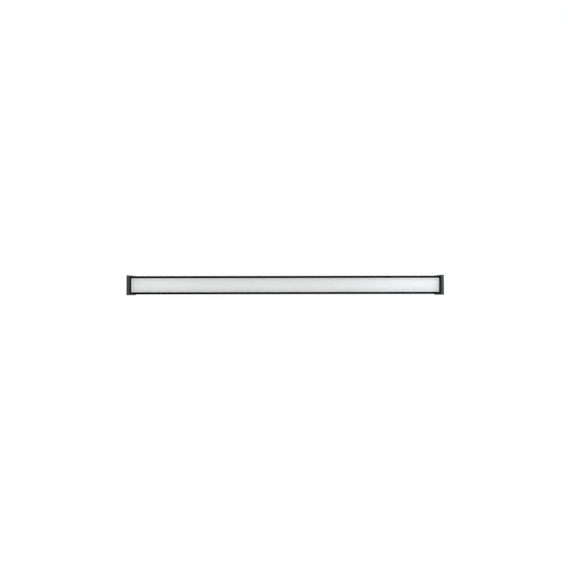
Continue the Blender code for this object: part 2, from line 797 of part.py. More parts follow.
def ground_lug(frame, looks):
    """A ring terminal with a crimp barrel, screwed to the web."""
    sheet = 0.8 * MM
    ring_front = WEB_BACK - GAP
    loops = []
    for radius, depth in (
        (1.9 * MM, ring_front),
        (3.6 * MM, ring_front),
        (3.6 * MM, ring_front - sheet),
        (1.9 * MM, ring_front - sheet),
    ):
        flat = circle(radius, 0, 16)
        loops.append([point(LUG_X + p.x, depth, LUG_Z + p.y) for p in flat])
    lug = rings_object("ground_lug", loops, closed=True)
    strap = bmesh.new()
    block_cut(
        strap,
        (LUG_X - 6 * MM, LUG_X - 2.6 * MM),
        (ring_front - 0.9 * sheet, ring_front - 0.1 * sheet),
        (LUG_Z - 1.4 * MM, LUG_Z + 1.4 * MM),
    )
    boolean(lug, strap, "UNION")
    barrel = bmesh.new()
    centre = point(LUG_X - 7.4 * MM, ring_front - 1.8 * MM, LUG_Z)
    drill(barrel, centre, (1, 0, 0), SCREW_HOLE, 6 * MM, ROUND)
    boolean(lug, barrel, "UNION")
    bore = bmesh.new()
    drill(bore, centre - Vector((1.5 * MM, 0, 0)), (1, 0, 0), 1.45 * MM, 6 * MM, ROUND)
    finish(boolean(lug, bore), frame, looks["brass"])
    screw = pan_screw("ground_lug_screw", 3 * MM, 1.8 * MM, 1.5 * MM, 3.2 * MM)
    seat = point(LUG_X, ring_front - sheet - GAP, LUG_Z)
    finish(aim(screw, seat, (0, 1, 0)), frame, looks["green_screw"], smooth=True)


# ---------------------------------------------------------------- driver


def driver_tab_places():
    return [DRIVER_X + side * (DRIVER_HALF_X + DRIVER_TAB / 2) for side in (-1, 1)]


def driver_base(frame, looks):
    low, high = DRIVER_X - DRIVER_HALF_X, DRIVER_X + DRIVER_HALF_X
    base = box("driver_base", (low, high), (DRIVER_SPLIT, DRIVER_FRONT), (-DRIVER_HALF_Z, DRIVER_HALF_Z))
    tabs = bmesh.new()
    block_cut(
        tabs,
        (low - DRIVER_TAB, high + DRIVER_TAB),
        (DRIVER_FRONT - 1.6 * MM, DRIVER_FRONT),
        (-6 * MM, 6 * MM),
    )
    boolean(base, tabs, "UNION")
    cutter = bmesh.new()
    inner = DRIVER_HALF_Z - DRIVER_SHELL
    block_cut(
        cutter,
        (low + DRIVER_SHELL, high - DRIVER_SHELL),
        (DRIVER_SPLIT - 2 * MM, DRIVER_FRONT - DRIVER_SHELL - 0.4 * MM),
        (-inner, inner),
    )
    for z in MAINS_PORTS:
        drill(cutter, point(high, PORT_DEPTH, z), (1, 0, 0), WIRE_RADIUS + 0.4 * MM, 4 * MM, ROUND)
    for z in LEAD_PORTS:
        drill(cutter, point(high, PORT_DEPTH, z), (1, 0, 0), LEAD_RADIUS + 0.4 * MM, 4 * MM, ROUND)
    boolean(base, cutter)
    tab_holes = bmesh.new()
    for x in driver_tab_places():
        drill(tab_holes, point(x, DRIVER_FRONT, 0), (0, 1, 0), SCREW_HOLE, 6 * MM, ROUND)
    boolean(base, tab_holes)
    finish(base, frame, looks["white_plastic"])
    for word, x in zip(("left", "right"), driver_tab_places()):
        screw = pan_screw(f"driver_screw_{word}", 2.8 * MM, 1.8 * MM, 1.4 * MM, 4.4 * MM)
        seat = point(x, DRIVER_FRONT - 1.6 * MM - GAP, 0)
        finish(aim(screw, seat, (0, 1, 0)), frame, looks["zinc"], smooth=True)


def driver_lid(frame, looks):
    low, high = DRIVER_X - DRIVER_HALF_X, DRIVER_X + DRIVER_HALF_X
    lid = box("driver_lid", (low, high), (DRIVER_BACK, DRIVER_SPLIT - GAP), (-DRIVER_HALF_Z, DRIVER_HALF_Z))
    cutter = bmesh.new()
    inner = DRIVER_HALF_Z - DRIVER_SHELL
    block_cut(
        cutter,
        (low + DRIVER_SHELL, high - DRIVER_SHELL),
        (DRIVER_BACK + DRIVER_SHELL, DRIVER_SPLIT + 2 * MM),
        (-inner, inner),
    )
    boolean(lid, cutter)
    window = bmesh.new()
    block_cut(
        window,
        (SWITCH_X - SWITCH_HALF_X - GAP, SWITCH_X + SWITCH_HALF_X + GAP),
        (DRIVER_BACK - 2 * MM, DRIVER_BACK + 3 * MM),
        (-SWITCH_HALF_Z - GAP, SWITCH_HALF_Z + GAP),
    )
    boolean(lid, window)
    finish(lid, frame, looks["white_plastic"])


def driver_board(frame, looks):
    """The converter's circuit board with its transformer, capacitors and choke."""
    half_x, half_z = DRIVER_HALF_X - 3 * MM, DRIVER_HALF_Z - 2 * MM
    back, front = 26 * MM, 27.6 * MM
    board = box("driver_board", (DRIVER_X - half_x, DRIVER_X + half_x), (back, front), (-half_z, half_z))
    blocks = bmesh.new()
    root = back + 0.4 * MM
    for x, z, width, height, top in (
        (-4, 0, 22, 20, 16.4),
        (24, -6, 12, 12, 18.5),
        (-30, 5, 8, 14, 19.5),
        (-31, -9, 14, 5, 17.5),
        (46, -7, 9, 7, 21),
    ):
        x, z, width, height = DRIVER_X + x * MM, z * MM, width * MM, height * MM
        block_cut(
            blocks,
            (x - width / 2, x + width / 2),
            (top * MM, root),
            (z - height / 2, z + height / 2),
        )
    for x, z, radius, top in ((26, 8, 5, 16.6), (-52, 3, 6, 17), (-52, -10, 3.5, 19)):
        height = root - top * MM
        centre = point(DRIVER_X + x * MM, root - height / 2, z * MM)
        drill(blocks, centre, (0, 1, 0), radius * MM, height)
    boolean(board, blocks, "UNION")
    finish(board, frame, looks["green_board"])


# ---------------------------------------------------------------- colour switch


def switch_frame(frame, looks):
    """The colour switch's body, with a slot for the knob and a track inside for the slider's foot."""
    body = box(
        "switch_frame",
        (SWITCH_X - SWITCH_HALF_X, SWITCH_X + SWITCH_HALF_X),
        (SWITCH_BACK, SWITCH_FRONT),
        (-SWITCH_HALF_Z, SWITCH_HALF_Z),
    )
    slot = KNOB_HALF_X + SWITCH_TRAVEL + GAP
    cutter = bmesh.new()
    block_cut(
        cutter,
        (SWITCH_X - slot, SWITCH_X + slot),
        (SWITCH_BACK - 1 * MM, SWITCH_BACK + 2 * MM),
        (-KNOB_HALF_Z - GAP, KNOB_HALF_Z + GAP),
    )
    boolean(body, cutter)
    track = bmesh.new()
    block_cut(
        track,
        (SWITCH_X - SWITCH_HALF_X + SWITCH_WALL, SWITCH_X + SWITCH_HALF_X - SWITCH_WALL),
        (SWITCH_BACK + 1 * MM, SWITCH_FRONT + 1 * MM),
        (SWITCH_WALL - SWITCH_HALF_Z, SWITCH_HALF_Z - SWITCH_WALL),
    )
    boolean(body, track)
    finish(body, frame, looks["grey_plastic"])


def switch_slider(frame, looks):
    """The slider's origin is the middle of its travel. Its knob reaches through the cover's window."""
    foot_x = 2.4 * MM
    foot_z = SWITCH_HALF_Z - SWITCH_WALL - GAP
    foot_back = SWITCH_BACK + 1 * MM + GAP
    foot_front = SWITCH_FRONT - 0.6 * MM
    slider = box("switch_slider", (-foot_x, foot_x), (foot_back, foot_front), (-foot_z, foot_z))
    knob = bmesh.new()
    block_cut(
        knob,
        (-KNOB_HALF_X, KNOB_HALF_X),
        (KNOB_BACK, foot_back + 0.5 * MM),
        (-KNOB_HALF_Z, KNOB_HALF_Z),
    )
    boolean(slider, knob, "UNION")
    helper = slider.modifiers[-1].object
    for obj in (slider, helper):
        obj.location = (SWITCH_X, 0, 0)
    bpy.context.view_layer.update()
    finish(slider, frame, looks["white_plastic"])


# ---------------------------------------------------------------- set screws


def set_screw(frames, looks, side, word):
    """A nylon-tipped grub screw in a clinch nut, up through the housing's lower wall to the bracket."""
    x = side * SET_SCREW_X
    bore = SET_SCREW_RADIUS + 0.35 * MM
    floor = -HALF_BAR
    nut = lathe(
        f"clinch_nut_{word}",
        [
            (bore, floor + 0.3 * MM),
            (3 * MM, floor + 0.3 * MM),
            (3 * MM, floor + WALL + GAP),
            (3.9 * MM, floor + WALL + GAP),
            (3.9 * MM, floor + WALL + 1.4 * MM),
            (bore, floor + WALL + 1.8 * MM),
        ],
        16,
        closed=True,
    )
    place = point(x, SET_SCREW_DEPTH, 0)
    finish(aim(nut, place, (0, 0, 1)), frames["light_body"], looks["zinc"], smooth=True)

    low = floor + 0.2 * MM
    high = BRACKET_BOTTOM - 1.9 * MM
    screw = lathe(
        f"set_screw_{word}",
        [
            (1.2 * MM, low + 1.8 * MM, "hex"),
            (1.2 * MM, low, "hex"),
            (SET_SCREW_RADIUS - 0.3 * MM, low),
            (SET_SCREW_RADIUS, low + 0.3 * MM),
            (SET_SCREW_RADIUS, high - 0.4 * MM),
            (SET_SCREW_RADIUS - 0.4 * MM, high),
            (1.2 * MM, high),
            (1.2 * MM, high - 1.2 * MM),
        ],
    )
    finish(aim(screw, place, (0, 0, 1)), frames[f"set_screw_{word}"], looks["black_screw"], smooth=True)

    tip = lathe(
        f"set_screw_tip_{word}",
        [
            (0.85 * MM, high - 0.9 * MM),
            (0.85 * MM, high + GAP),
            (1.4 * MM, high + GAP),
            (1.4 * MM, BRACKET_BOTTOM - 2 * GAP),
            (1.1 * MM, BRACKET_BOTTOM - GAP),
        ],
    )
    finish(aim(tip, place, (0, 0, 1)), frames[f"set_screw_tip_{word}"], looks["nylon"], smooth=True)


# ---------------------------------------------------------------- wires


def wires(frame, looks):
    driver_end = DRIVER_X + DRIVER_HALF_X
    block_side = BUSHING_X - TERMINAL_HALF_X
    inside = driver_end - 2.6 * MM
    socket = block_side + 3.2 * MM
    for name, start_z, end_z, lane, surface in (
        ("line_wire", MAINS_PORTS[1], WIRE_HOLE_Z + TERMINAL_PORTS[2], LINE_LANE, "black_wire"),
        ("neutral_wire", MAINS_PORTS[0], WIRE_HOLE_Z, NEUTRAL_LANE, "white_wire"),
    ):
        corners = [
            point(inside, PORT_DEPTH, start_z),
            point(driver_end + 3 * MM, PORT_DEPTH, start_z),
            point(driver_end + 10 * MM, PORT_DEPTH, start_z),
            point(driver_end + 30 * MM, LANE_DEPTH, lane),
            point(driver_end + 45 * MM, LANE_DEPTH, lane),
            point(CLIP_X, LANE_DEPTH, lane),
            point(block_side - 34 * MM, LANE_DEPTH, lane),
            point(block_side - 10 * MM, TERMINAL_PORT_DEPTH, end_z),
            point(block_side - 3 * MM, TERMINAL_PORT_DEPTH, end_z),
            point(socket, TERMINAL_PORT_DEPTH, end_z),
        ]
        finish(wire(name, corners, WIRE_RADIUS), frame, looks[surface])

    lug_end = LUG_X - 9 * MM
    lug_depth = WEB_BACK - GAP - 1.8 * MM
    ground = [
        point(socket, TERMINAL_PORT_DEPTH, WIRE_HOLE_Z + TERMINAL_PORTS[0]),
        point(block_side - 5 * MM, TERMINAL_PORT_DEPTH, WIRE_HOLE_Z + TERMINAL_PORTS[0]),
        point(block_side - 11 * MM, 23 * MM, -6.5 * MM),
        point(block_side - 6 * MM, 25 * MM, -12 * MM),
        point(block_side + 8 * MM, 27 * MM, -13 * MM),
        point(LUG_X - 22 * MM, lug_depth - 0.6 * MM, LUG_Z - 0.4 * MM),
        point(LUG_X - 14 * MM, lug_depth, LUG_Z),
        point(lug_end, lug_depth, LUG_Z),
    ]
    finish(wire("ground_wire", ground, WIRE_RADIUS), frame, looks["green_wire"])

    socket_end = LEAD_SOCKET_IN - BOARD_LENGTH / 2
    for name, start_z, end_z, surface in (
        ("led_wire_positive", LEAD_PORTS[1], LEAD_SOCKETS[0], "red_wire"),
        ("led_wire_negative", LEAD_PORTS[0], LEAD_SOCKETS[1], "blue_wire"),
    ):
        corners = [
            point(inside, PORT_DEPTH, start_z),
            point(driver_end + 3 * MM, PORT_DEPTH, start_z),
            point(driver_end + 8 * MM, PORT_DEPTH, start_z),
            point(driver_end + 16 * MM, 23.4 * MM, start_z + 2.5 * MM),
            point(driver_end + 25 * MM, 26 * MM, end_z - 4 * MM),
            point(LEAD_HOLE_X - 3 * MM, 27.4 * MM, end_z - 0.6 * MM),
            point(LEAD_HOLE_X - 0.4 * MM, 29.4 * MM, end_z),
            point(LEAD_HOLE_X, 33 * MM, end_z),
            point(LEAD_HOLE_X + 1.2 * MM, LEAD_SOCKET_DEPTH - 0.5 * MM, end_z),
            point(LEAD_HOLE_X + 3.6 * MM, LEAD_SOCKET_DEPTH, end_z),
            point(socket_end + 2.4 * MM, LEAD_SOCKET_DEPTH, end_z),
        ]
        finish(wire(name, corners, LEAD_RADIUS), frame, looks[surface])


def wire_clip(frame, looks):
    """A nylon saddle that keeps the mains leads against the web."""
    half = 3 * MM
    wall = 1.4 * MM
    foot = WEB_BACK - GAP
    top = LANE_DEPTH - WIRE_RADIUS - GAP
    low = NEUTRAL_LANE - WIRE_RADIUS - GAP
    high = LINE_LANE + WIRE_RADIUS + GAP
    outline = [
        (foot, low - 4 * MM),
        (foot, low),
        (top, low),
        (top, high),
        (foot, high),
        (foot, high + wall),
        (top - wall, high + wall),
        (top - wall, low - wall),
        (foot - wall, low - wall),
        (foot - wall, low - 4 * MM),
    ]
    finish(prism("wire_clip", outline, CLIP_X - half, CLIP_X + half), frame, looks["nylon"])


def web_holes():
    """(x, z, radius) of every hole through the housing's web."""
    holes = [
        (centre + side * BOARD_SCREW_X, 0, SCREW_HOLE)
        for centre in board_centres().values()
        for side in (-1, 1)
    ]
    holes += [(x, 0, SCREW_HOLE) for x in driver_tab_places()]
    holes.append((TERMINAL_SCREW_X, TERMINAL_SCREW_Z, SCREW_HOLE))
    holes.append((LUG_X, LUG_Z, SCREW_HOLE))
    holes.append((LEAD_HOLE_X, LEAD_SOCKET_Z, 2.6 * MM))
    return holes


# ---------------------------------------------------------------- assembly


def clear_scene():
    for obj in list(bpy.data.objects):
        bpy.data.objects.remove(obj)


def build():
    clear_scene()
    looks = make_materials()
    screw_place = {w: (s * SET_SCREW_X, -SET_SCREW_DEPTH, 0) for w, s in (("left", -1), ("right", 1))}
    frames = {
        "wall": empty("wall_frame"),
        "light_body": empty("light_body_frame"),
        "switch_slider": empty("switch_slider_frame", (SWITCH_X, 0, 0)),
    }
    for word, place in screw_place.items():
        frames[f"set_screw_tip_{word}"] = empty(f"set_screw_tip_{word}_frame", place)
        frames[f"set_screw_{word}"] = empty(f"set_screw_{word}_frame", place)
    body = frames["light_body"]

    wall_bracket(frames["wall"], looks)
    housing(body, looks)
    diffuser(body, looks)
    reflector(body, looks)
    for side, word in ((-1, "left"), (1, "right")):
        end_plate(body, looks, side, word)
        end_gasket(body, looks, side, word)
        end_screws(body, looks, side, word)
        set_screw(frames, looks, side, word)
        board_link(body, looks, word, side * (BOARD_LENGTH + BOARD_GAP) / 2)
    for word, centre in board_centres().items():
        led_board(body, looks, word, centre)
    back_cover(body, looks)
    wire_bushing(body, looks)
    terminal_block(body, looks)
    ground_lug(body, looks)
    driver_base(body, looks)
    driver_lid(body, looks)
    driver_board(body, looks)
    switch_frame(body, looks)
    switch_slider(frames["switch_slider"], looks)
    wires(body, looks)
    wire_clip(body, looks)


build()
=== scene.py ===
"""Looks of the 36 inch vanity light bar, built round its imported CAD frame.

+X runs along the bar, +Z is up and the wall is the plane y = 0. "Depth" is the distance in front of the
wall, so a point at depth d has y = -d. Lengths are in millimetres: point(), polar() and the few other tools
that say MM turn them into Blender's metres. Every material is laid out in the object's own space.
"""

from math import asin, cos, pi, radians, sin, tan

import bmesh
import bpy
from mathutils import Matrix, Vector

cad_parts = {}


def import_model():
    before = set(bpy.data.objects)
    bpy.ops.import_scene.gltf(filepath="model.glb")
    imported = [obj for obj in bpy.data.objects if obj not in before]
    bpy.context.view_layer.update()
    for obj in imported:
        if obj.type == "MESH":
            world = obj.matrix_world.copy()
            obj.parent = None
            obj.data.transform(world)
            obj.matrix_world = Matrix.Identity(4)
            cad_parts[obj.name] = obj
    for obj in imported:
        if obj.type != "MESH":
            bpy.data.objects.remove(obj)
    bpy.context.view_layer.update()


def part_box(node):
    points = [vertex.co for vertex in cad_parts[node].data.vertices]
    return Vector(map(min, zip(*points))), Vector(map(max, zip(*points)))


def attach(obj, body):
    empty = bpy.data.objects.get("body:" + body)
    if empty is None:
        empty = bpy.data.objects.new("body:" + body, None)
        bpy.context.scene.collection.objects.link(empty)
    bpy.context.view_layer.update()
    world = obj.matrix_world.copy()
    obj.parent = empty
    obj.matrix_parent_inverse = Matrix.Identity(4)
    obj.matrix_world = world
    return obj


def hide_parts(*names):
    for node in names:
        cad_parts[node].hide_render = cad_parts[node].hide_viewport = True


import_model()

MM = 0.001
SEAM = 0.003  # points closer than this are one point
BODY = "light_body"
SIDES = ((-1, "left"), (1, "right"))
BOARDS = ("left", "centre", "right")
ALONG = (1, 0, 0)
TO_WALL = (0, 1, 0)
TO_FRONT = (0, -1, 0)
UP = (0, 0, 1)

# ---------------- places, from the frame


def extents(node):
    """The (low, high) of a CAD node's x, of its depth and of its z."""
    low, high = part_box(node)
    return (low.x / MM, high.x / MM), (-high.y / MM, -low.y / MM), (low.z / MM, high.z / MM)


def middle(node):
    """The middle (x, depth, z) of a CAD node."""
    return [sum(extent) / 2 for extent in extents(node)]


(_, HOUSING_HALF), (BAR_REAR, BAR_FRONT), (_, HALF_BAR) = extents("housing")
(LEDGE_TIP, PLATE_OUTER), (_, PLATE_FRONT), (_, HALF_PLATE) = extents("end_plate_right")
PLATE_THICK = 7.5
PLATE_INNER = PLATE_OUTER - PLATE_THICK
_, (LENS_BACK, LENS_FRONT), (_, LENS_FLANGE_Z) = extents("diffuser")
WALL = 2
INNER = HALF_BAR - WALL
LIP_HEIGHT = 6.1
WINDOW_HALF_Z = HALF_BAR - LIP_HEIGHT
WINDOW_HALF_X = LEDGE_TIP - 0.3
LIP_BACK = BAR_FRONT - WALL
RAIL_FRONT = LENS_BACK - 0.3
WEB_BACK = extents("ground_lug")[1][1] + 0.3
WEB_FRONT = extents("led_board_centre")[1][0] - 0.3
COVER_BACK, COVER_FRONT = extents("back_cover")[1]
BUSHING_X, _, BUSHING_Z = middle("wire_bushing")

EDGE_SHADE_FADE = 11.5  # how far in from its edge the diffuser's painted shade reaches
EDGE_PAINTED_SHADE = {"X": 0.15, "Z": 0.24}  # how dark the painted shade makes its ends and its long edges
BORDER = 5.3  # width of the diffuser's border, outside its fine groove

PORT_RADIUS = 2
PORT_SLOT = 1.5  # half the width of a port's open side
PORT_EDGE = 18.8  # inner face of the port blocks
PORT_LEDGE = COVER_FRONT + 0.3
PORT_REAR = middle("end_screw_right_1")[1]
PORT_FRONT = middle("end_screw_right_3")[1]
PORT_Z = middle("end_screw_right_2")[2]
PORTS = [(depth, side * PORT_Z) for depth in (PORT_REAR, PORT_FRONT) for side in (-1, 1)]
SET_SCREW_X, SET_SCREW_DEPTH, _ = middle("set_screw_right")
THREAD_PITCH = 0.7  # of the set screws and their nuts
SCREW_HOLE = 1.8  # radius of a small screw's clearance hole
DRIVER_PORTS = 21  # depth of the wires at the driver's end
BLOCK_PORTS = 22  # depth of the wires at the terminal block

# ---------------- mesh tools


def point(x, depth, z):
    return MM * Vector((x, -depth, z))


def polar(radius, angle, height):
    """A point about +Z."""
    return MM * Vector((radius * cos(angle), radius * sin(angle), height))


def about(centre, half):
    return centre - half, centre + half


def widened(extent, gap):
    return extent[0] - gap, extent[1] + gap


def mesh_object(name, bm):
    bmesh.ops.recalc_face_normals(bm, faces=bm.faces)
    mesh = bpy.data.meshes.new(name)
    bm.to_mesh(mesh)
    bm.free()
    made = bpy.data.objects.new(name, mesh)
    bpy.context.scene.collection.objects.link(made)
    return made


def loops_into(bm, loops, closed=False):
    """Quads between neighbouring loops of points. Open ends get a cap."""
    rings = [[bm.verts.new(p) for p in loop] for loop in loops]
    pairs = list(zip(rings, rings[1:]))
    if closed:
        pairs.append((rings[-1], rings[0]))
    else:
        bm.faces.new(rings[0])
        bm.faces.new(rings[-1])
    for near, far in pairs:
        count = len(near)
        for i in range(count):
            j = (i + 1) % count
            bm.faces.new((near[i], near[j], far[j], far[i]))


def loops_object(name, loops, closed=False):
    bm = bmesh.new()
    loops_into(bm, loops, closed)
    return mesh_object(name, bm)


def fillet(outline, radius, steps=4, least=30):
    """Rounds each corner of a closed 2D outline. A corner's own radius is its third value, if it has one."""
    out = []
    count = len(outline)
    for i, corner in enumerate(outline):
        here = Vector(corner[:2])
        back = Vector(outline[i - 1][:2]) - here
        ahead = Vector(outline[(i + 1) % count][:2]) - here
        turn = pi - back.angle(ahead)
        if turn < radians(least):
            out.append(tuple(here))
            continue
        size = corner[2] if len(corner) > 2 else radius
        reach = min(size * tan(turn / 2), back.length * 0.42, ahead.length * 0.42)
        start = here + back.normalized() * reach
        end = here + ahead.normalized() * reach
        for k in range(steps + 1):
            t = k / steps
            out.append(tuple(start * (1 - t) ** 2 + here * 2 * t * (1 - t) + end * t * t))
    return out


def extrude(name, outline, x0, x1):
    """A closed (depth, z) outline extruded along the bar."""
    return loops_object(name, [[point(x, d, z) for d, z in outline] for x in (x0, x1)])


def rounded_rectangle(half_x, half_z, depth, radius, steps=6, centre=(0, 0)):
    """A ring of points parallel to the wall."""
    points = []
    for sx, sz, start in ((1, 1, 0), (-1, 1, 90), (-1, -1, 180), (1, -1, 270)):
        for i in range(steps + 1):
            angle = radians(start + 90 * i / steps)
            x = centre[0] + sx * (half_x - radius) + radius * cos(angle)
            z = centre[1] + sz * (half_z - radius) + radius * sin(angle)
            points.append(point(x, depth, z))
    return points


def stacked(name, rings, closed=False):
    """A piece from rounded rectangles, each given as rounded_rectangle's values."""
    return loops_object(name, [rounded_rectangle(*values) for values in rings], closed)


def placed(centre, axis):
    """The transform that takes +Z to an axis and the origin to a place."""
    turn = Vector(UP).rotation_difference(Vector(axis)).to_matrix().to_4x4()
    return Matrix.Translation(centre) @ turn


def paint_from(bm, start, surface):
    """Gives every face made since the count of faces was start the material with this number."""
    bm.faces.ensure_lookup_table()
    for face in bm.faces[start:]:
        face.material_index = surface


def cylinder_into(bm, centre, axis, radius, length, sides=48, tip=None):
    """A closed cylinder, or a cone where tip gives the radius at its far end."""
    far = radius if tip is None else tip
    sizes = {"radius1": radius * MM, "radius2": far * MM, "depth": length * MM}
    bmesh.ops.create_cone(bm, cap_ends=True, segments=sides, matrix=placed(centre, axis), **sizes)


def block_into(bm, x, depth, z):
    """A block from its (low, high) extents."""
    centre = point(sum(x) / 2, sum(depth) / 2, sum(z) / 2)
    size = [(high - low) * MM for low, high in (x, depth, z)]
    bmesh.ops.create_cube(bm, size=1, matrix=Matrix.Translation(centre) @ Matrix.Diagonal((*size, 1)))


def soft_block_into(bm, x, depth, z, edge, surface=0):
    """A block from its (low, high) extents, with rounded corners and rims."""
    start = len(bm.faces)
    centre = (sum(x) / 2, sum(z) / 2)
    half_x, half_z = (x[1] - x[0]) / 2, (z[1] - z[0]) / 2
    rim = ((0, edge), (0.3 * edge, 0.3 * edge), (edge, 0))
    steps = [(depth[0] + d, inset) for d, inset in rim] + [(depth[1] - d, inset) for d, inset in rim[::-1]]
    loops = []
    for d, inset in steps:
        corner = max(1.3 * edge - inset, 0.1 * edge)
        loops.append(rounded_rectangle(half_x - inset, half_z - inset, d, corner, 3, centre))
    loops_into(bm, loops)
    paint_from(bm, start, surface)


def soft_block(name, *extents_and_edge):
    bm = bmesh.new()
    soft_block_into(bm, *extents_and_edge)
    return mesh_object(name, bm)


def slot_into(bm, x, z, length, width, depth, through, steps=12):
    """A round-ended slot, long along the bar, through a sheet at this depth."""
    reach = length / 2 - width / 2
    outline = []
    for side, start in ((1, -90), (-1, 90)):
        for i in range(steps + 1):
            angle = radians(start + 180 * i / steps)
            u = x + side * reach + width / 2 * cos(angle)
            outline.append((u, z + width / 2 * sin(angle)))
    loops_into(bm, [[point(u, d, w) for u, w in outline] for d in about(depth, through)])


def settle(obj):
    """Turns an object's modifiers into its mesh."""
    graph = bpy.context.evaluated_depsgraph_get()
    graph.update()
    done = bpy.data.meshes.new_from_object(obj.evaluated_get(graph))
    obj.modifiers.clear()
    obj.data = done
    done.name = obj.name
    return obj


def cut(obj, bm, operation="DIFFERENCE"):
    """Cuts the shapes in a bmesh out of an object, or joins them to it."""
    helper = mesh_object(obj.name + "_helper", bm)
    modifier = obj.modifiers.new("Cut", "BOOLEAN")
    modifier.operation = operation
    modifier.object = helper
    modifier.use_self = True
    settle(obj)
    bpy.data.objects.remove(helper)
    done = bmesh.new()
    done.from_mesh(obj.data)
    bmesh.ops.remove_doubles(done, verts=done.verts, dist=SEAM * MM)
    bmesh.ops.dissolve_degenerate(done, edges=done.edges, dist=SEAM * MM)
    done.to_mesh(obj.data)
    done.free()
    return obj


def drill(obj, holes):
    """Cuts round holes, each given as cylinder_into's centre, axis, radius, length and so on."""
    bm = bmesh.new()
    for hole in holes:
        cylinder_into(bm, *hole)
    return cut(obj, bm)


def carve(obj, blocks, operation="DIFFERENCE"):
    """Cuts blocks out of an object, or joins them to it, each given as its extents."""
    bm = bmesh.new()
    for block in blocks:
        block_into(bm, *block)
    return cut(obj, bm, operation)


def bevel(obj, width, segments=3, angle=40):
    modifier = obj.modifiers.new("Bevel", "BEVEL")
    modifier.width = width * MM
    modifier.segments = segments
    modifier.limit_method = "ANGLE"
    modifier.angle_limit = radians(angle)
    modifier.use_clamp_overlap = True
    return settle(obj)


def absorb(bm, obj, surface=0):
    """Moves a helper object's mesh into a bmesh."""
    start = len(bm.faces)
    bm.from_mesh(obj.data)
    bpy.data.objects.remove(obj)
    paint_from(bm, start, surface)


def ring(radius, height, sides=48):
    return [polar(radius, 2 * pi * i / sides, height) for i in range(sides)]


def turned(name, location, axis, rings, closed=False):
    """A piece from rings about its own +Z, then moved to a place with its +Z along an axis."""
    made = loops_object(name, rings, closed)
    made.data.transform(placed(location, axis))
    return made


def turned_into(bm, centre, axis, profile, surface=0, sides=48, closed=False):
    """A turned shape about an axis, from (radius, height) steps."""
    start = len(bm.faces)
    place = placed(centre, axis)
    loops_into(bm, [[place @ p for p in ring(r, h, sides)] for r, h in profile], closed)
    paint_from(bm, start, surface)


def thread(low, high, major, minor, pitch, sides=48, inside=False):
    """Rings of a helical thread about +Z between two heights. It fades out over half a turn at each end."""
    rings = []
    count = max(4, round((high - low) / pitch * 7))
    for k in range(count + 1):
        height = low + (high - low) * k / count
        ends = min(1.0, (height - low) / (0.5 * pitch), (high - height) / (0.5 * pitch))
        loop = []
        for i in range(sides):
            turn = i / sides
            phase = (height / pitch - turn) % 1.0
            crest = max(0.0, 1 - abs(phase - 0.5) / 0.42) * ends
            radius = major - (major - minor) * crest if inside else minor + (major - minor) * crest
            loop.append(polar(radius, 2 * pi * turn, height))
        rings.append(loop)
    return rings


def hexagon(across, height, sides=48):
    """A ring of points round a hexagon, across its flats."""
    out = []
    for i in range(sides):
        angle = 2 * pi * i / sides
        radius = across / 2 / cos(angle % (pi / 3) - pi / 6)
        out.append(polar(radius, angle, height))
    return out


def hex_socket(across, top, depth):
    """Rings from the drilled foot of a hexagonal socket up to the face it opens in."""
    foot = top - depth
    return [
        ring(0.02 * across, foot - 0.25 * across),
        ring(0.48 * across, foot),
        hexagon(across, foot),
        hexagon(across, top - 0.04 * across),
        hexagon(1.06 * across, top),
    ]


def screw_place(node, toward):
    """Where a screw's head ends, its whole length and its head's radius, from the CAD node's box."""
    low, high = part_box(node)
    centre = (low + high) / 2
    axis = Vector(toward)
    size = high - low
    length = abs(size.dot(axis))
    width = sorted(size)[1] if length == max(size) else max(size)
    return centre + axis * length / 2, length / MM, width / 2 / MM


def pan_screw(node, toward, head_height, shank, slot="zinc_plated_screw", body=BODY):
    """A pan head screw with a hexagonal socket and a rolled thread. Its head faces along toward."""
    top, length, radius = screw_place(node, toward)
    foot = -length
    seat = -head_height
    flat = 0.66 * radius
    profile = hex_socket(0.95 * radius, 0, 0.62 * head_height)
    for i in range(8):
        angle = pi / 2 * i / 7
        height = seat + head_height * (0.35 + 0.65 * cos(angle))
        profile.append(ring(flat + (radius - flat) * sin(angle), height))
    profile += [ring(radius, seat + 0.1 * head_height), ring(0.96 * radius, seat), ring(shank * 1.02, seat)]
    profile += thread(foot + 0.9 * shank, seat - 0.15, shank, 0.82 * shank, 0.6 * shank)[::-1]
    profile += [ring(0.5 * shank, foot + 0.12 * shank), ring(0.35 * shank, foot)]
    screw_piece(node, top, toward, profile, slot, body)


def piece(obj, slot, node, body=BODY, surfaces=(), sharp=32):
    """Finishes a piece: its materials, smooth shading, body and the CAD node it replaces. Its slot names its
    material where surfaces gives none.

    An edge sharper than sharp, in degrees, isn't smoothed.
    """
    for name in surfaces or [slot]:
        obj.data.materials.append(LOOKS[name])
    obj.data.shade_smooth()
    obj.data.set_sharp_from_angle(angle=radians(sharp))
    weights = obj.modifiers.new("Weighted normals", "WEIGHTED_NORMAL")
    weights.keep_sharp = True
    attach(obj, body)
    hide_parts(node)


def screw_piece(node, place, axis, rings, slot, body=BODY, closed=False):
    piece(turned(node + "_turned", place, axis, rings, closed), slot, node, body, sharp=38)


# ---------------- materials


def rgba(colour):
    return (*colour, 1) if isinstance(colour, tuple) else colour


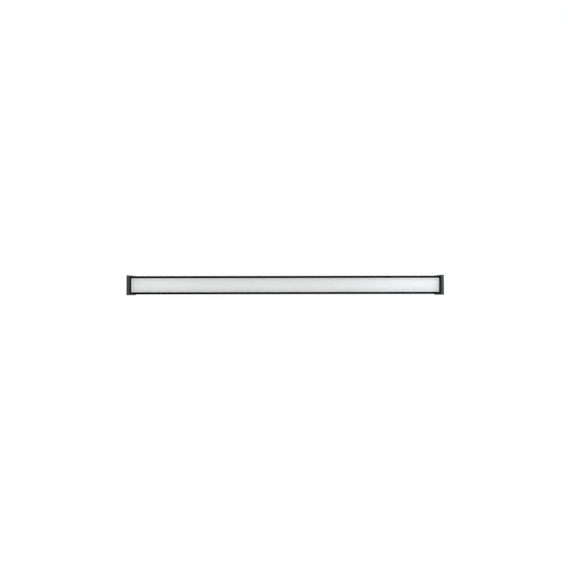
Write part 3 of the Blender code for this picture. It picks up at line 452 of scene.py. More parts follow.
class Nodes:
    """A node tree, written as short steps. A step takes values or other steps' outputs."""

    def __init__(self, tree):
        self.tree = tree

    def set(self, node, socket, value):
        if isinstance(value, bpy.types.NodeSocket):
            self.tree.links.new(value, node.inputs[socket])
        else:
            node.inputs[socket].default_value = value

    def node(self, kind, sockets=None, **settings):
        made = self.tree.nodes.new(kind)
        for key, value in settings.items():
            setattr(made, key, value)
        for socket, value in (sockets or {}).items():
            self.set(made, socket, value)
        return made

    def math(self, operation, a, b=0.0, c=0.0):
        return self.node("ShaderNodeMath", {0: a, 1: b, 2: c}, operation=operation).outputs[0]

    def spread(self, value, low=0.3, high=0.7, to_low=0.0, to_high=1.0, smooth=False):
        """The value, with its range from low to high taken to another range."""
        sockets = {"Value": value, "From Min": low, "From Max": high, "To Min": to_low, "To Max": to_high}
        kind = "SMOOTHSTEP" if smooth else "LINEAR"
        return self.node("ShaderNodeMapRange", sockets, interpolation_type=kind).outputs[0]


class Surface(Nodes):
    """A material."""

    def __init__(self, name, colour, roughness, metallic=0.0, **settings):
        self.material = bpy.data.materials.new(name)
        self.material.use_nodes = True
        super().__init__(self.material.node_tree)
        self.shader = self.tree.nodes["Principled BSDF"]
        self.set(self.shader, "Base Color", rgba(colour))
        self.use(Roughness=roughness, Metallic=metallic, **settings)
        self.place = self.node("ShaderNodeTexCoord").outputs["Object"]

    def stretched(self, x, y, z):
        """The object's coordinates, scaled by a factor along each axis."""
        return self.node("ShaderNodeMapping", {"Vector": self.place, "Scale": (x, y, z)}).outputs[0]

    def noise(self, size, detail=2.0, rough=0.5, place=None):
        """Cloudy noise from 0 to 1, whose features are about this size."""
        sockets = {"Vector": place or self.place, "Scale": 1 / (size * MM)}
        sockets |= {"Detail": detail, "Roughness": rough}
        return self.node("ShaderNodeTexNoise", sockets).outputs[0]

    def cells(self, size, place=None, feature="F1"):
        sockets = {"Vector": place or self.place, "Scale": 1 / (size * MM)}
        return self.node("ShaderNodeTexVoronoi", sockets, feature=feature).outputs["Distance"]

    def axis(self, name):
        return self.node("ShaderNodeSeparateXYZ", {"Vector": self.place}).outputs[name]

    def mix(self, factor, a, b):
        """A blend of two colours, each an output or red, green and blue."""
        sockets = {0: factor, 6: rgba(a), 7: rgba(b)}
        return self.node("ShaderNodeMix", sockets, data_type="RGBA").outputs[2]

    def bump(self, height, distance, strength, under=None):
        sockets = {"Height": height, "Distance": distance * MM, "Strength": strength}
        if under is not None:
            sockets["Normal"] = under
        return self.node("ShaderNodeBump", sockets).outputs[0]

    def use(self, **links):
        for key, value in links.items():
            self.set(self.shader, key.replace("_", " "), value)
        return self.material

    def finish(self, tone, rough, height, distance, strength):
        return self.use(Base_Color=tone, Roughness=rough, Normal=self.bump(height, distance, strength))


def powder_coat(name, colour, rub, roughness, gloss):
    """Black powder coat: fine orange peel, a few specks, and slow changes in gloss."""
    s = Surface(name, colour, roughness, Specular_IOR_Level=gloss)
    cloud = s.noise(60, 3)
    peel = s.noise(0.9, 2)
    grit = s.noise(0.22, 1)
    specks = s.spread(s.cells(2.6), 0.05, 0.085, 1, 0)
    tone = s.mix(s.spread(cloud), colour, rub)
    tone = s.mix(s.math("MULTIPLY", specks, 0.25), tone, tuple(2.2 * c for c in rub))
    rough = s.spread(s.noise(9, 3), to_low=roughness - 0.035, to_high=roughness + 0.045)
    height = s.math("ADD", peel, s.math("MULTIPLY", grit, 0.35))
    return s.finish(tone, rough, height, 0.09, 0.8)


def opal_acrylic():
    """Satin opal acrylic. Its colour is painted darker towards each edge: painted shade for the light lost
    to the frame.
    """
    opal = (0.9, 0.904, 0.905)
    s = Surface("opal_acrylic", opal, 0.38, IOR=1.49)
    # painted shade: the colour darkens towards each edge of the window
    fades = []
    for axis, half in (("X", WINDOW_HALF_X), ("Z", WINDOW_HALF_Z)):
        for side in (-1, 1):
            to_edge = s.math("MULTIPLY_ADD", s.axis(axis), -side, half * MM)
            depth_in = s.math("MAXIMUM", to_edge, BORDER * MM)
            fade = s.math("EXPONENT", s.math("DIVIDE", depth_in, -EDGE_SHADE_FADE * MM))
            fades.append(s.math("MULTIPLY", fade, EDGE_PAINTED_SHADE[axis]))
    lost = s.math("ADD", s.math("ADD", fades[0], fades[1]), s.math("ADD", fades[2], fades[3]))
    cloud = s.spread(s.noise(45, 2), 0.3, 0.7, 0.0, 0.012)
    shade = s.math("MINIMUM", s.math("ADD", lost, cloud), 0.5)
    tone = s.mix(shade, opal, (0.0, 0.0, 0.0))
    rough = s.spread(s.noise(12, 3), 0.3, 0.7, 0.35, 0.42)
    return s.finish(tone, rough, s.noise(0.3, 1), 0.01, 0.3)


def zinc_sheet():
    """Zinc-plated steel sheet: rolling lines along the bar, faint cloudy plating and light scratches."""
    s = Surface("zinc_plated_sheet", (0.6, 0.61, 0.62), 0.36, 1.0)
    rolled = s.noise(0.4, 3, 0.6, s.stretched(0.03, 1, 1))
    cloud = s.noise(22, 4, 0.6)
    scratch = s.noise(1.5, 1, 0.5, s.stretched(0.05, 1, 1.6))
    scratch = s.spread(scratch, 0.68, 0.74)
    tone = s.mix(s.spread(cloud), (0.36, 0.37, 0.39), (0.5, 0.5, 0.49))
    tone = s.mix(s.spread(rolled, 0.35, 0.65, 0, 0.35), tone, (0.3, 0.31, 0.33))
    tone = s.mix(s.math("MULTIPLY", scratch, 0.4), tone, (0.6, 0.6, 0.62))
    rough = s.math("ADD", s.spread(cloud, to_low=0.3, to_high=0.42), s.spread(rolled, 0.3, 0.7, -0.04, 0.05))
    return s.finish(tone, rough, rolled, 0.02, 0.5)


def plated_metal(name, colour, dark, roughness, metallic=1.0):
    """A small plated or oxidised metal piece, with handling marks and duller patches."""
    s = Surface(name, colour, roughness, metallic)
    cloud = s.noise(2.5, 4, 0.65)
    tone = s.mix(s.spread(cloud, 0.35, 0.7), colour, dark)
    rough = s.spread(cloud, to_low=roughness - 0.06, to_high=roughness + 0.1)
    return s.finish(tone, rough, s.noise(0.12, 2), 0.01, 0.5)


def moulded(name, colour, shade, roughness, grain=0.35):
    """Moulded plastic, rubber or nylon, with a fine tool texture and slightly uneven colour."""
    s = Surface(name, colour, roughness)
    tone = s.mix(s.spread(s.noise(14, 3, 0.55)), colour, shade)
    rough = s.spread(s.noise(5, 2), 0.3, 0.7, roughness - 0.05, roughness + 0.06)
    return s.finish(tone, rough, s.noise(grain, 2), 0.02, 0.6)


def white_board():
    """White solder mask over copper: the tracks under it show as faint raised bands along the board."""
    s = Surface("white_led_board", (0.86, 0.87, 0.84), 0.42)
    track_pitch = 5.5 * MM
    band = s.math("ABSOLUTE", s.math("SINE", s.math("MULTIPLY", s.axis("Z"), pi / track_pitch)))
    tracks = s.spread(band, 0.25, 0.4, smooth=True)
    tone = s.mix(tracks, (0.8, 0.81, 0.77), (0.88, 0.89, 0.87))
    tone = s.mix(s.spread(s.noise(18, 3), 0.35, 0.7, 0, 0.3), tone, (0.82, 0.82, 0.76))
    weave = s.bump(s.noise(0.5, 2), 0.01, 0.4)
    return s.use(Base_Color=tone, Normal=s.bump(tracks, 0.05, 0.8, weave))


def green_board():
    """Green solder mask with tracks and pads, for the driver's circuit board."""
    s = Surface("green_circuit_board", (0.03, 0.16, 0.07), 0.35)
    tracks = s.spread(s.cells(3.2, s.stretched(0.35, 1, 1), "DISTANCE_TO_EDGE"), 0.08, 0.12)
    pads = s.spread(s.cells(2.54), 0.16, 0.2, 1, 0)
    tone = s.mix(tracks, (0.06, 0.26, 0.1), (0.02, 0.12, 0.05))
    tone = s.mix(pads, tone, (0.62, 0.6, 0.55))
    return s.use(Base_Color=tone, Normal=s.bump(tracks, 0.04, 0.7))


def insulation(name, colour, shade):
    """PVC wire insulation: faint lines along the extrusion and a scuffed, waxy skin."""
    s = Surface(name, colour, 0.38, Specular_IOR_Level=0.45)
    cloud = s.noise(6, 3)
    fine = s.noise(0.25, 2, 0.5, s.stretched(0.1, 1, 1))
    tone = s.mix(s.spread(cloud), colour, shade)
    rough = s.spread(cloud, to_low=0.32, to_high=0.48)
    return s.finish(tone, rough, fine, 0.015, 0.5)


# The front lips and the end plates' ledges beside the diffuser ("plate_inside") get darker copies of the
# coat: painted shade.
COATS = {  # colour, colour of the duller patches, roughness, specular level
    "housing_powder_coat": ((0.007, 0.007, 0.0071), (0.011, 0.011, 0.0111), 0.34, 0.36),
    # painted shade: a darker, less shiny copy of the housing's coat for the front lips
    "front_lip_painted_shade_coat": ((0.0008, 0.0008, 0.0009), (0.0016, 0.0016, 0.0017), 0.28, 0.08),
    "plate_powder_coat": ((0.035, 0.035, 0.0355), (0.043, 0.043, 0.0435), 0.48, 0.5),
    # painted shade: a darker copy of the coat for the plates' ledges beside the diffuser
    "plate_inside_painted_shade_coat": ((0.006, 0.006, 0.0062), (0.009, 0.009, 0.0092), 0.4, 0.3),
}

METALS = {  # colour, dark patches, roughness, and how metallic it is if not wholly
    "zinc_plated_screw": ((0.66, 0.67, 0.7), (0.5, 0.5, 0.5), 0.3),
    "black_steel_screw": ((0.035, 0.035, 0.038), (0.02, 0.02, 0.021), 0.34, 0.85),
    "green_ground_screw": ((0.05, 0.32, 0.1), (0.03, 0.22, 0.07), 0.34, 0.8),
    "tinned_brass": ((0.72, 0.66, 0.5), (0.6, 0.52, 0.36), 0.3),
}

PLASTICS = {  # colour, its uneven patches, roughness, and the size of the grain if not 0.35
    "black_rubber": ((0.016, 0.016, 0.017), (0.026, 0.026, 0.027), 0.72, 0.25),
    "white_painted_aluminium": ((0.88, 0.88, 0.87), (0.84, 0.84, 0.82), 0.5, 0.7),
    "white_plastic": ((0.8, 0.8, 0.78), (0.76, 0.76, 0.73), 0.42),
    "grey_plastic": ((0.24, 0.25, 0.26), (0.2, 0.21, 0.22), 0.46),
    "natural_nylon": ((0.74, 0.72, 0.64), (0.68, 0.65, 0.56), 0.45, 0.4),
    "dark_ferrite": ((0.045, 0.044, 0.043), (0.07, 0.068, 0.064), 0.55, 0.2),
    "yellow_tape": ((0.72, 0.5, 0.06), (0.62, 0.42, 0.05), 0.35, 0.5),
    "blue_film_case": ((0.03, 0.1, 0.3), (0.02, 0.07, 0.22), 0.35, 0.4),
    "led_phosphor": ((0.86, 0.72, 0.16), (0.8, 0.62, 0.1), 0.35, 0.15),
}

PVC = {  # colour, scuffed colour
    "black_insulation": ((0.018, 0.018, 0.019), (0.03, 0.03, 0.031)),
    "white_insulation": ((0.8, 0.8, 0.77), (0.74, 0.73, 0.69)),
    "green_insulation": ((0.03, 0.28, 0.08), (0.02, 0.2, 0.05)),
    "red_insulation": ((0.5, 0.03, 0.03), (0.4, 0.02, 0.02)),
    "blue_insulation": ((0.04, 0.08, 0.4), (0.03, 0.06, 0.3)),
}


LOOKS = {
    "opal_acrylic": opal_acrylic(),
    "zinc_plated_sheet": zinc_sheet(),
    "white_led_board": white_board(),
    "green_circuit_board": green_board(),
}
for kind, table in ((powder_coat, COATS), (plated_metal, METALS), (moulded, PLASTICS), (insulation, PVC)):
    LOOKS.update({name: kind(name, *values) for name, values in table.items()})

# ---------------- housing


def port_arc(depth, z, open_toward, steps=28):
    """The round wall of a screw port, from one side of its slot to the other."""
    half_open = asin(PORT_SLOT / PORT_RADIUS)
    sweep = 2 * pi - 2 * half_open
    arc = []
    for i in range(steps + 1):
        angle = open_toward + half_open + sweep * i / steps
        arc.append((depth + PORT_RADIUS * cos(angle), z + PORT_RADIUS * sin(angle)))
    return arc


def front_chamber():
    """The upper half of the light chamber's wall, from the lip's front corner to the web."""
    block_back = PORT_FRONT - PORT_RADIUS - 1
    return [
        (BAR_FRONT, WINDOW_HALF_Z),
        (LIP_BACK, WINDOW_HALF_Z),
        (LIP_BACK, INNER),
        (RAIL_FRONT, INNER),
        (RAIL_FRONT, PORT_EDGE),
        (PORT_FRONT + PORT_SLOT, PORT_EDGE),
        *port_arc(PORT_FRONT, PORT_Z, -pi / 2),
        (PORT_FRONT - PORT_SLOT, PORT_EDGE),
        (block_back, PORT_EDGE),
        (block_back, INNER),
        (WEB_FRONT, INNER),
    ]


def rear_chamber():
    """The upper half of the driver chamber's wall, from the web to the housing's rear edge."""
    block_front = PORT_REAR + PORT_RADIUS + 0.8
    return [
        (WEB_BACK, INNER),
        (block_front, INNER),
        (block_front, PORT_EDGE),
        (PORT_LEDGE, PORT_EDGE),
        (PORT_LEDGE, PORT_Z - PORT_SLOT),
        *port_arc(PORT_REAR, PORT_Z, pi),
        (PORT_LEDGE, PORT_Z + PORT_SLOT),
        (PORT_LEDGE, INNER),
        (BAR_REAR, INNER),
    ]


def mirrored(half):
    return [(d, -z) for d, z in reversed(half)]


def web_holes():
    """(x, z, radius) of every hole through the housing's web, from what goes through it."""
    screws = [f"led_board_screw_{word}_{n}" for word in BOARDS for n in (1, 2)]
    screws += ["driver_screw_left", "driver_screw_right", "terminal_block_screw", "ground_lug_screw"]
    leads = (middle("board_link_left")[0], 6.5, 2.6)
    return [leads, *((x, z, SCREW_HOLE) for x, _, z in map(middle, screws))]


def housing():
    outline = [
        *front_chamber(),
        *mirrored(front_chamber()),
        (BAR_FRONT, -HALF_BAR),
        (BAR_REAR, -HALF_BAR),
        *mirrored(rear_chamber()),
        *rear_chamber(),
        (BAR_REAR, HALF_BAR),
        (BAR_FRONT, HALF_BAR),
    ]
    shell = extrude("housing_shell", fillet(outline, 0.5), -HOUSING_HALF, HOUSING_HALF)
    web = (WEB_FRONT + WEB_BACK) / 2
    holes = [(point(x, web, z), TO_WALL, radius, 4 * WALL) for x, z, radius in web_holes()]
    for side in (-1, 1):
        nut = point(side * SET_SCREW_X, SET_SCREW_DEPTH, -HALF_BAR + WALL / 2)
        holes.append((nut, UP, 3.4, 3 * WALL))
    drill(shell, holes)
    piece(shell, "black_powder_coat", "housing", surfaces=("housing_powder_coat", "front_lip_painted_shade_coat"))
    # The lips' front faces get the darker, less shiny copy of the coat: painted shade.
    for face in shell.data.polygons:
        if face.normal.y < -0.35 and -face.center.y > LIP_BACK * MM:
            face.material_index = 1


# ---------------- end plates


def end_plate(side, word):
    """A square plate with softened edges, countersinks, and a ledge that closes the window."""
    outer, inner = side * PLATE_OUTER, side * PLATE_INNER
    bm = bmesh.new()
    block_into(bm, sorted((outer, inner)), (0, PLATE_FRONT), about(0, HALF_PLATE))
    plate = bevel(mesh_object(f"end_plate_{word}_shell", bm), 0.8, 5)
    ledge_x = sorted((side * LEDGE_TIP, inner + side * 2))
    carve(plate, [(ledge_x, (LIP_BACK, BAR_FRONT - 0.1), about(0, WINDOW_HALF_Z - 0.3))], "UNION")
    core = (outer + inner) / 2
    drill(plate, [(point(core, d, z), ALONG, 2, 3 * PLATE_THICK) for d, z in PORTS])
    sink = 2.4
    mouth = outer - side * (sink / 2 - 0.1)
    drill(plate, [(point(mouth, d, z), (side, 0, 0), 1.6, sink, 64, 3.9) for d, z in PORTS])
    coats = ("plate_powder_coat", "plate_inside_painted_shade_coat")
    piece(plate, "black_powder_coat", f"end_plate_{word}", surfaces=coats)
    # The ledge beside the diffuser gets the darker coat: painted shade.
    for face in plate.data.polygons:
        if side * face.center.x < (PLATE_INNER - 1) * MM:
            face.material_index = 1


def end_gasket(side, word):
    """A rubber sheet cut to the extrusion's outline, with a rounded edge all round."""
    x, (back, front), (_, edge) = extents(f"end_gasket_{word}")
    notch = WINDOW_HALF_Z + 0.2
    dip = LIP_BACK - 0.4
    half = [(dip, notch), (front, notch), (front, edge), (back, edge)]
    gasket = extrude(f"end_gasket_{word}_seal", fillet([*mirrored(half), *half], 0.4), *x)
    drill(gasket, [(point(sum(x) / 2, d, z), ALONG, 2.4, 6) for d, z in PORTS])
    bevel(gasket, 0.2, 3, 60)
    piece(gasket, "black_rubber", f"end_gasket_{word}")


# ---------------- diffuser


def diffuser():
    """The opal tray: a flange behind the lips, a border, a fine groove and a gently crowned panel."""
    side_x, side_z = WINDOW_HALF_X, WINDOW_HALF_Z - 0.3
    border = BAR_FRONT - 1
    flange = LIP_BACK - 0.3
    rise = LENS_FRONT - border
    hidden = [  # half the length, half the height, depth, corner radius
        (side_x - 2, side_z - 2, border - 2, 1),
        (side_x - 2, side_z - 2, LENS_BACK, 1),
        (HOUSING_HALF - 0.15, LENS_FLANGE_Z - 0.15, LENS_BACK, 0.5),
        (HOUSING_HALF, LENS_FLANGE_Z, LENS_BACK + 0.15, 0.5),
        (HOUSING_HALF, LENS_FLANGE_Z, flange - 0.15, 0.5),
        (HOUSING_HALF - 0.15, LENS_FLANGE_Z - 0.15, flange, 0.5),
        (side_x + 0.1, side_z + 0.1, flange, 0.6),
        (side_x, side_z, flange + 0.1, 0.5),
    ]
    shown = [  # distance in from the window's edge, depth past the border's face, corner radius
        (0, -0.35, 0.5),
        (0.06, -0.12, 0.5),
        (0.18, -0.03, 0.5),
        (0.4, 0, 0.5),
        (BORDER - 0.6, 0, 1.2),
        (BORDER - 0.48, -0.1, 1.1),
        (BORDER - 0.42, -0.5, 1.0),
        (BORDER + 0.12, -0.55, 0.9),
        (BORDER + 0.2, -0.15, 0.8),
        (BORDER + 0.25, 0.22, 0.8),
        (BORDER + 0.45, 0.34, 0.8),
        (BORDER + 0.9, 0.39, 0.8),
        (BORDER + 4, 0.5, 0.8),
        (BORDER + 8, rise - 0.03, 0.8),
        (BORDER + 12, rise, 0.6),
    ]
    rings = [*hidden, *((side_x - inset, side_z - inset, border + lift, r) for inset, lift, r in shown)]
    piece(stacked("diffuser_lens", rings), "opal_acrylic", "diffuser", sharp=50)


# ---------------- screws


def end_screws():
    """Countersunk socket screws, flush in the end plates."""
    shank = 1.55
    under = -1.7
    for side, word in SIDES:
        for number in (1, 2, 3, 4):
            node = f"end_screw_{word}_{number}"
            top, length, radius = screw_place(node, (side, 0, 0))
            profile = hex_socket(2.4, 0, 1.2)
            profile += [ring(0.93 * radius, 0), ring(radius, -0.12), ring(radius, -0.3), ring(shank, under)]
            profile += thread(1.2 - length, under - 0.2, shank, 0.8 * shank, 0.9)[::-1]
            profile += [ring(0.5 * shank, 0.2 - length), ring(0.35 * shank, -length)]
            screw_piece(node, top, (side, 0, 0), profile, "black_steel_screw")


def pan_screws():
    for number in (1, 2, 3, 4):
        pan_screw(f"back_cover_screw_{number}", TO_WALL, 1.5, 1.1)
    for word in BOARDS:
        for number in (1, 2):
            pan_screw(f"led_board_screw_{word}_{number}", TO_FRONT, 1.7, 1.4)
    for _, word in SIDES:
        pan_screw(f"driver_screw_{word}", TO_WALL, 1.8, 1.4)
    pan_screw("terminal_block_screw", TO_WALL, 1.6, 1.4)
    pan_screw("ground_lug_screw", TO_WALL, 1.8, 1.5, "green_ground_screw")
    pan_screw("bracket_ground_screw", TO_FRONT, 2.6, 2.3, "green_ground_screw", "bracket")


def round_size(node):
    """The radius and the lowest and highest z of an upright round CAD node."""
    (left, right), _, (low, high) = extents(node)
    return (right - left) / 2, low, high


def set_screw(word, place):
    """A threaded grub screw with a hexagonal socket."""
    node = f"set_screw_{word}"
    radius, low, high = round_size(node)
    bore = 1.2
    foot = low + 1.8
    profile = [ring(0.05, foot + 0.4), ring(0.95, foot), hexagon(2, foot)]
    profile += [hexagon(2, low + 0.1), hexagon(2.15, low)]
    profile += [ring(0.8 * radius, low), ring(0.86 * radius, low + 0.1)]
    profile += thread(low + 0.15, high - 0.15, radius, 0.84 * radius, THREAD_PITCH)
    profile += [ring(0.8 * radius, high), ring(bore, high), ring(bore, high - 1.2)]
    screw_piece(node, place, UP, profile, "black_steel_screw", node)


def set_screw_tip(word, place):
    """The nylon tip that bears on the bracket."""
    node = f"set_screw_tip_{word}"
    head, low, high = round_size(node)
    stem = 0.85
    step = low + 1.2
    profile = [(0.8 * stem, low), (stem, low + 0.1), (stem, step), (0.97 * head, step), (head, step + 0.08)]
    profile += [(head, high - 0.3), (head - 0.05, high - 0.12), (head - 0.3, high)]
    rings = [ring(r, h) for r, h in profile]
    screw_piece(node, place, UP, rings, "natural_nylon", f"set_screw_{word}_tip")


def clinch_nut(word, place):
    """The threaded nut pressed into the housing's underside, which holds a set screw."""
    node = f"clinch_nut_{word}"
    flange, low, high = round_size(node)
    neck = 3
    under = low + WALL
    bore = 2.35
    profile = [(bore + 0.3, low), (neck - 0.15, low), (neck, low + 0.15), (neck, under)]
    profile += [(flange - 0.1, under), (flange, under + 0.1), (flange, under + 1)]
    profile += [(flange - 0.25, under + 1.2), (bore + 0.2, high)]
    inner = thread(low + 0.1, high - 0.2, bore, 2.1, THREAD_PITCH, inside=True)
    rings = [*(ring(r, h) for r, h in profile), *inner[::-1]]
    screw_piece(node, place, UP, rings, "zinc_plated_screw", closed=True)


# ---------------- bracket, back cover and bushing


def wall_bracket():
    """A bent steel channel with softened edges, wire holes, and slots for box and anchor screws."""
    length, (_, flange), (bottom, top) = extents("wall_bracket")
    sheet = 1.5
    outer, inner, tip = 1.9, 0.5, 0.2
    outline = [
        (0, bottom, outer),
        (flange, bottom, tip),
        (flange, bottom + sheet, tip),
        (sheet, bottom + sheet, inner),
        (sheet, top - sheet, inner),
        (flange, top - sheet, tip),
        (flange, top, tip),
        (0, top, outer),
    ]
    plate = extrude("wall_bracket_sheet", fillet(outline, tip, 6), *length)
    cutter = bmesh.new()
    for side in (-1, 1):
        cylinder_into(cutter, point(side * 22, sheet / 2, BUSHING_Z), TO_WALL, 10, 4 * sheet, 96)
        for x in (43, 132):
            slot_into(cutter, side * x, BUSHING_Z, 12, 5.2, sheet / 2, 2 * sheet)
    ground_x, _, ground_z = middle("bracket_ground_screw")
    cylinder_into(cutter, point(ground_x, sheet / 2, ground_z), TO_WALL, 2.7, 4 * sheet)
    cut(plate, cutter)
    bevel(plate, 0.15, 2, 60)
    piece(plate, "zinc_plated_sheet", "wall_bracket", "bracket")


def back_cover():
    """The flat cover over the driver chamber, with a rounded window for the colour switch."""
    (_, half_x), (back, front), (_, half_z) = extents("back_cover")
    cover = stacked("back_cover_sheet", [(half_x, half_z, depth, 1.5) for depth in (back, front)])
    sheet = front - back
    cutter = bmesh.new()
    cylinder_into(cutter, point(BUSHING_X, back, BUSHING_Z), TO_WALL, 8, 6 * sheet, 96)
    for number in (1, 2, 3, 4):
        x, _, z = middle(f"back_cover_screw_{number}")
        cylinder_into(cutter, point(x, back, z), TO_WALL, 1.6, 6 * sheet)
    switch = (middle("switch_slider")[0], 0)
    through = (back - 2 * sheet, front + 2 * sheet)
    loops_into(cutter, [rounded_rectangle(7, 3, d, 1, centre=switch) for d in through])
    cut(cover, cutter)
    bevel(cover, 0.12, 2, 60)
    piece(cover, "zinc_plated_sheet", "back_cover")


def wire_bushing():
    """A snap bushing that lines the wire entry, with a rounded flange and a chamfered snap edge."""
    bore, neck, seat = 5.8, 7.6, 0.3
    left, right = extents("wire_bushing")[0]
    flange = (right - left) / 2
    under = COVER_BACK - COVER_FRONT - seat
    snap = under - 1.1
    profile = [(bore, 1.05), (bore + 0.15, 1.35), (bore + 0.45, 1.5), (flange - 0.7, 1.2)]
    profile += [(flange - 0.2, 1.0), (flange, 0.75), (flange, seat + 0.1), (flange - 0.1, seat)]
    profile += [(neck, seat), (neck, under), (neck + 0.8, under), (neck + 0.9, under - 0.15)]
    profile += [(neck + 0.2, snap), (bore + 0.1, snap), (bore, snap + 0.1)]
    place = point(BUSHING_X, COVER_BACK, BUSHING_Z)
    rings = [ring(r, h, 96) for r, h in profile]
    bushing = turned("wire_bushing_ring", place, TO_WALL, rings, closed=True)
    piece(bushing, "black_rubber", "wire_bushing", sharp=45)


# ---------------- light engine

# the materials of a board, by their number in its mesh
BOARD_LOOKS = ("white_led_board", "white_plastic", "led_phosphor", "tinned_brass")
MOULDING, PHOSPHOR, CONTACT = 1, 2, 3
LED_COUNT = 18
LED_PITCH = 16


def led_into(bm, x, front):
    """One LED: its white body, yellow phosphor dome and a solder joint at each end."""
    soft_block_into(bm, about(x, 1.5), (front - 0.05, front + 0.72), (-1.45, 1.45), 0.12, MOULDING)
    dome = [(1.2, 0.66), (1.15, 0.74), (0.9, 0.78), (0.4, 0.797)]
    turned_into(bm, point(x, front, 0), TO_FRONT, dome, PHOSPHOR, 24)
    for side in (-1, 1):
        joint = sorted((x + side * 1.45, x + side * 1.95))
        soft_block_into(bm, joint, (front - 0.1, front + 0.16), (-1.1, 1.1), 0.1, CONTACT)


def edge_connector_into(bm, x, front):
    """A low header with three contact strips on its face."""
    soft_block_into(bm, about(x, 2.4), (front - 0.1, front + 2.2), (-9, -4), 0.25, MOULDING)
    for z in (-8.2, -6.7, -5.2):
        soft_block_into(bm, about(x, 1.9), (front + 2, front + 2.27), (z, z + 0.5), 0.06, CONTACT)


def lead_socket(x, front):
    """The connector that takes the two leads from the driver."""
    body = soft_block("lead_socket_body", (x, x + 6), (front - 0.1, front + 3.2), (3.5, 9.5), 0.3)
    return drill(body, [(point(x, front + 1.7, z), ALONG, 1, 7, 32) for z in (5.2, 7.8)])


def led_board(word):
    """An aluminium-core board with its row of LEDs, its edge connectors and its lead socket."""
    node = f"led_board_{word}"
    wide, (back, _), tall = extents(node)
    front = back + 1.2
    sheet = soft_block("board_sheet", wide, (back, front), tall, 0.2)
    screws = [middle(f"led_board_screw_{word}_{number}") for number in (1, 2)]
    bm = bmesh.new()
    absorb(bm, drill(sheet, [(point(x, front, z), TO_WALL, SCREW_HOLE, 6) for x, _, z in screws]))
    absorb(bm, lead_socket(wide[0] + 4, front), MOULDING)
    for i in range(LED_COUNT):
        led_into(bm, sum(wide) / 2 + (i - (LED_COUNT - 1) / 2) * LED_PITCH, front)
    for x in (wide[0] + 3, wide[1] - 3):
        edge_connector_into(bm, x, front)
    piece(mesh_object(node + "_assembly", bm), "white_led_board", node, surfaces=BOARD_LOOKS)


def board_link(word):
    """The plug between two boards' edge connectors, with finger grooves across its back."""
    node = f"board_link_{word}"
    x, (back, front), tall = extents(node)
    centre = sum(x) / 2
    reach = x[1] - centre
    leg = 1.6
    step = front - 1.6
    half = [(-reach, step), (-leg, step), (-leg, back)]
    outline = [*half, *[(-u, d) for u, d in reversed(half)], (reach, front), (-reach, front)]
    outline = fillet(outline, 0.35)
    loops = [[point(centre + u, d, z) for u, d in outline] for z in tall]
    link = loops_object(node + "_plug", loops)
    carve(link, [(about(centre + 1.3 * k, 0.25), (front - 0.25, front + 1), (-12, 0)) for k in range(-2, 3)])
    piece(bevel(link, 0.1, 2, 50), "white_plastic", node)


def quarter(steps):
    """(sine, cosine) at even steps through a quarter turn."""
    angles = [pi / 2 * i / steps for i in range(steps + 1)]
    return [(sin(angle), cos(angle)) for angle in angles]


def reflector():
    """A folded white trough, with curved bends, round the window that the boards sit in."""
    (_, wall_x), (base, top), (_, wall_z) = extents("reflector")
    sheet, bend, rim = 0.5, 1.2, 0.1
    slot_x, slot_z = 437.2, 12.2
    rings = [(slot_x, slot_z, base)]
    for sine, cosine in quarter(4):
        inset = bend * (1 - sine)
        rings.append((wall_x - inset, wall_z - inset, base + bend * (1 - cosine)))
    rings += [(wall_x, wall_z, top - rim), (wall_x - rim, wall_z - rim, top)]
    rings.append((wall_x - sheet + rim, wall_z - sheet + rim, top))
    for sine, cosine in reversed(quarter(4)):
        inset = sheet + (bend - sheet) * (1 - sine)
        rings.append((wall_x - inset, wall_z - inset, base + sheet + (bend - sheet) * (1 - cosine)))
    rings.append((slot_x, slot_z, base + sheet))
    trough = stacked("reflector_trough", [(*values, 1.6) for values in rings], closed=True)
    piece(trough, "white_painted_aluminium", "reflector")


# ---------------- driver and colour switch


def moulded_tray(name, centre, half_x, half_z, mouth, floor, wall, base):
    """An open tray of moulded plastic, between the depths of its mouth and its floor."""
    toward = 1 if floor > mouth else -1
    soft, rim = 0.8, 0.2
    rings = [
        (wall, floor - toward * base, 0.4),
        (wall, mouth + toward * rim, 0.4),
        (wall - 0.5 * rim, mouth, 0.5),
        (0.5 * rim, mouth, 1.4),
        (0, mouth + toward * rim, 1.5),
        (0, floor - toward * soft, 1.5),
        (0.3 * soft, floor - toward * 0.3 * soft, 1.2),
        (soft, floor, 0.8),
    ]
    place = (centre, 0)
    sizes = [(half_x - inset, half_z - inset, depth, corner) for inset, depth, corner in rings]
    return stacked(name, [(*size, 6, place) for size in sizes])


def driver_base():
    """The driver's body, with screw tabs and wire ports in its end."""
    x, (mouth, floor), (_, half_z) = extents("driver_base")
    left, right = extents("driver_lid")[0]
    centre = sum(x) / 2
    half_x = (right - left) / 2
    tray = moulded_tray("driver_base_tray", centre, half_x, half_z, mouth, floor, 1.2, 1.6)
    ports = ((5, 1.5), (9, 1.5), (-9, 1.1), (-6, 1.1))
    drill(tray, [(point(right, DRIVER_PORTS, z), ALONG, radius, 4) for z, radius in ports])
    bm = bmesh.new()
    absorb(bm, tray)
    for side, word in SIDES:
        reach = sorted((centre + side * (half_x - 0.6), centre + side * (x[1] - centre)))
        tab = soft_block("driver_tab", reach, (floor - 1.6, floor), (-6, 6), 0.4)
        hole = point(middle(f"driver_screw_{word}")[0], floor, 0)
        absorb(bm, drill(tab, [(hole, TO_WALL, SCREW_HOLE, 6)]))
    piece(mesh_object("driver_base_body", bm), "white_plastic", "driver_base")


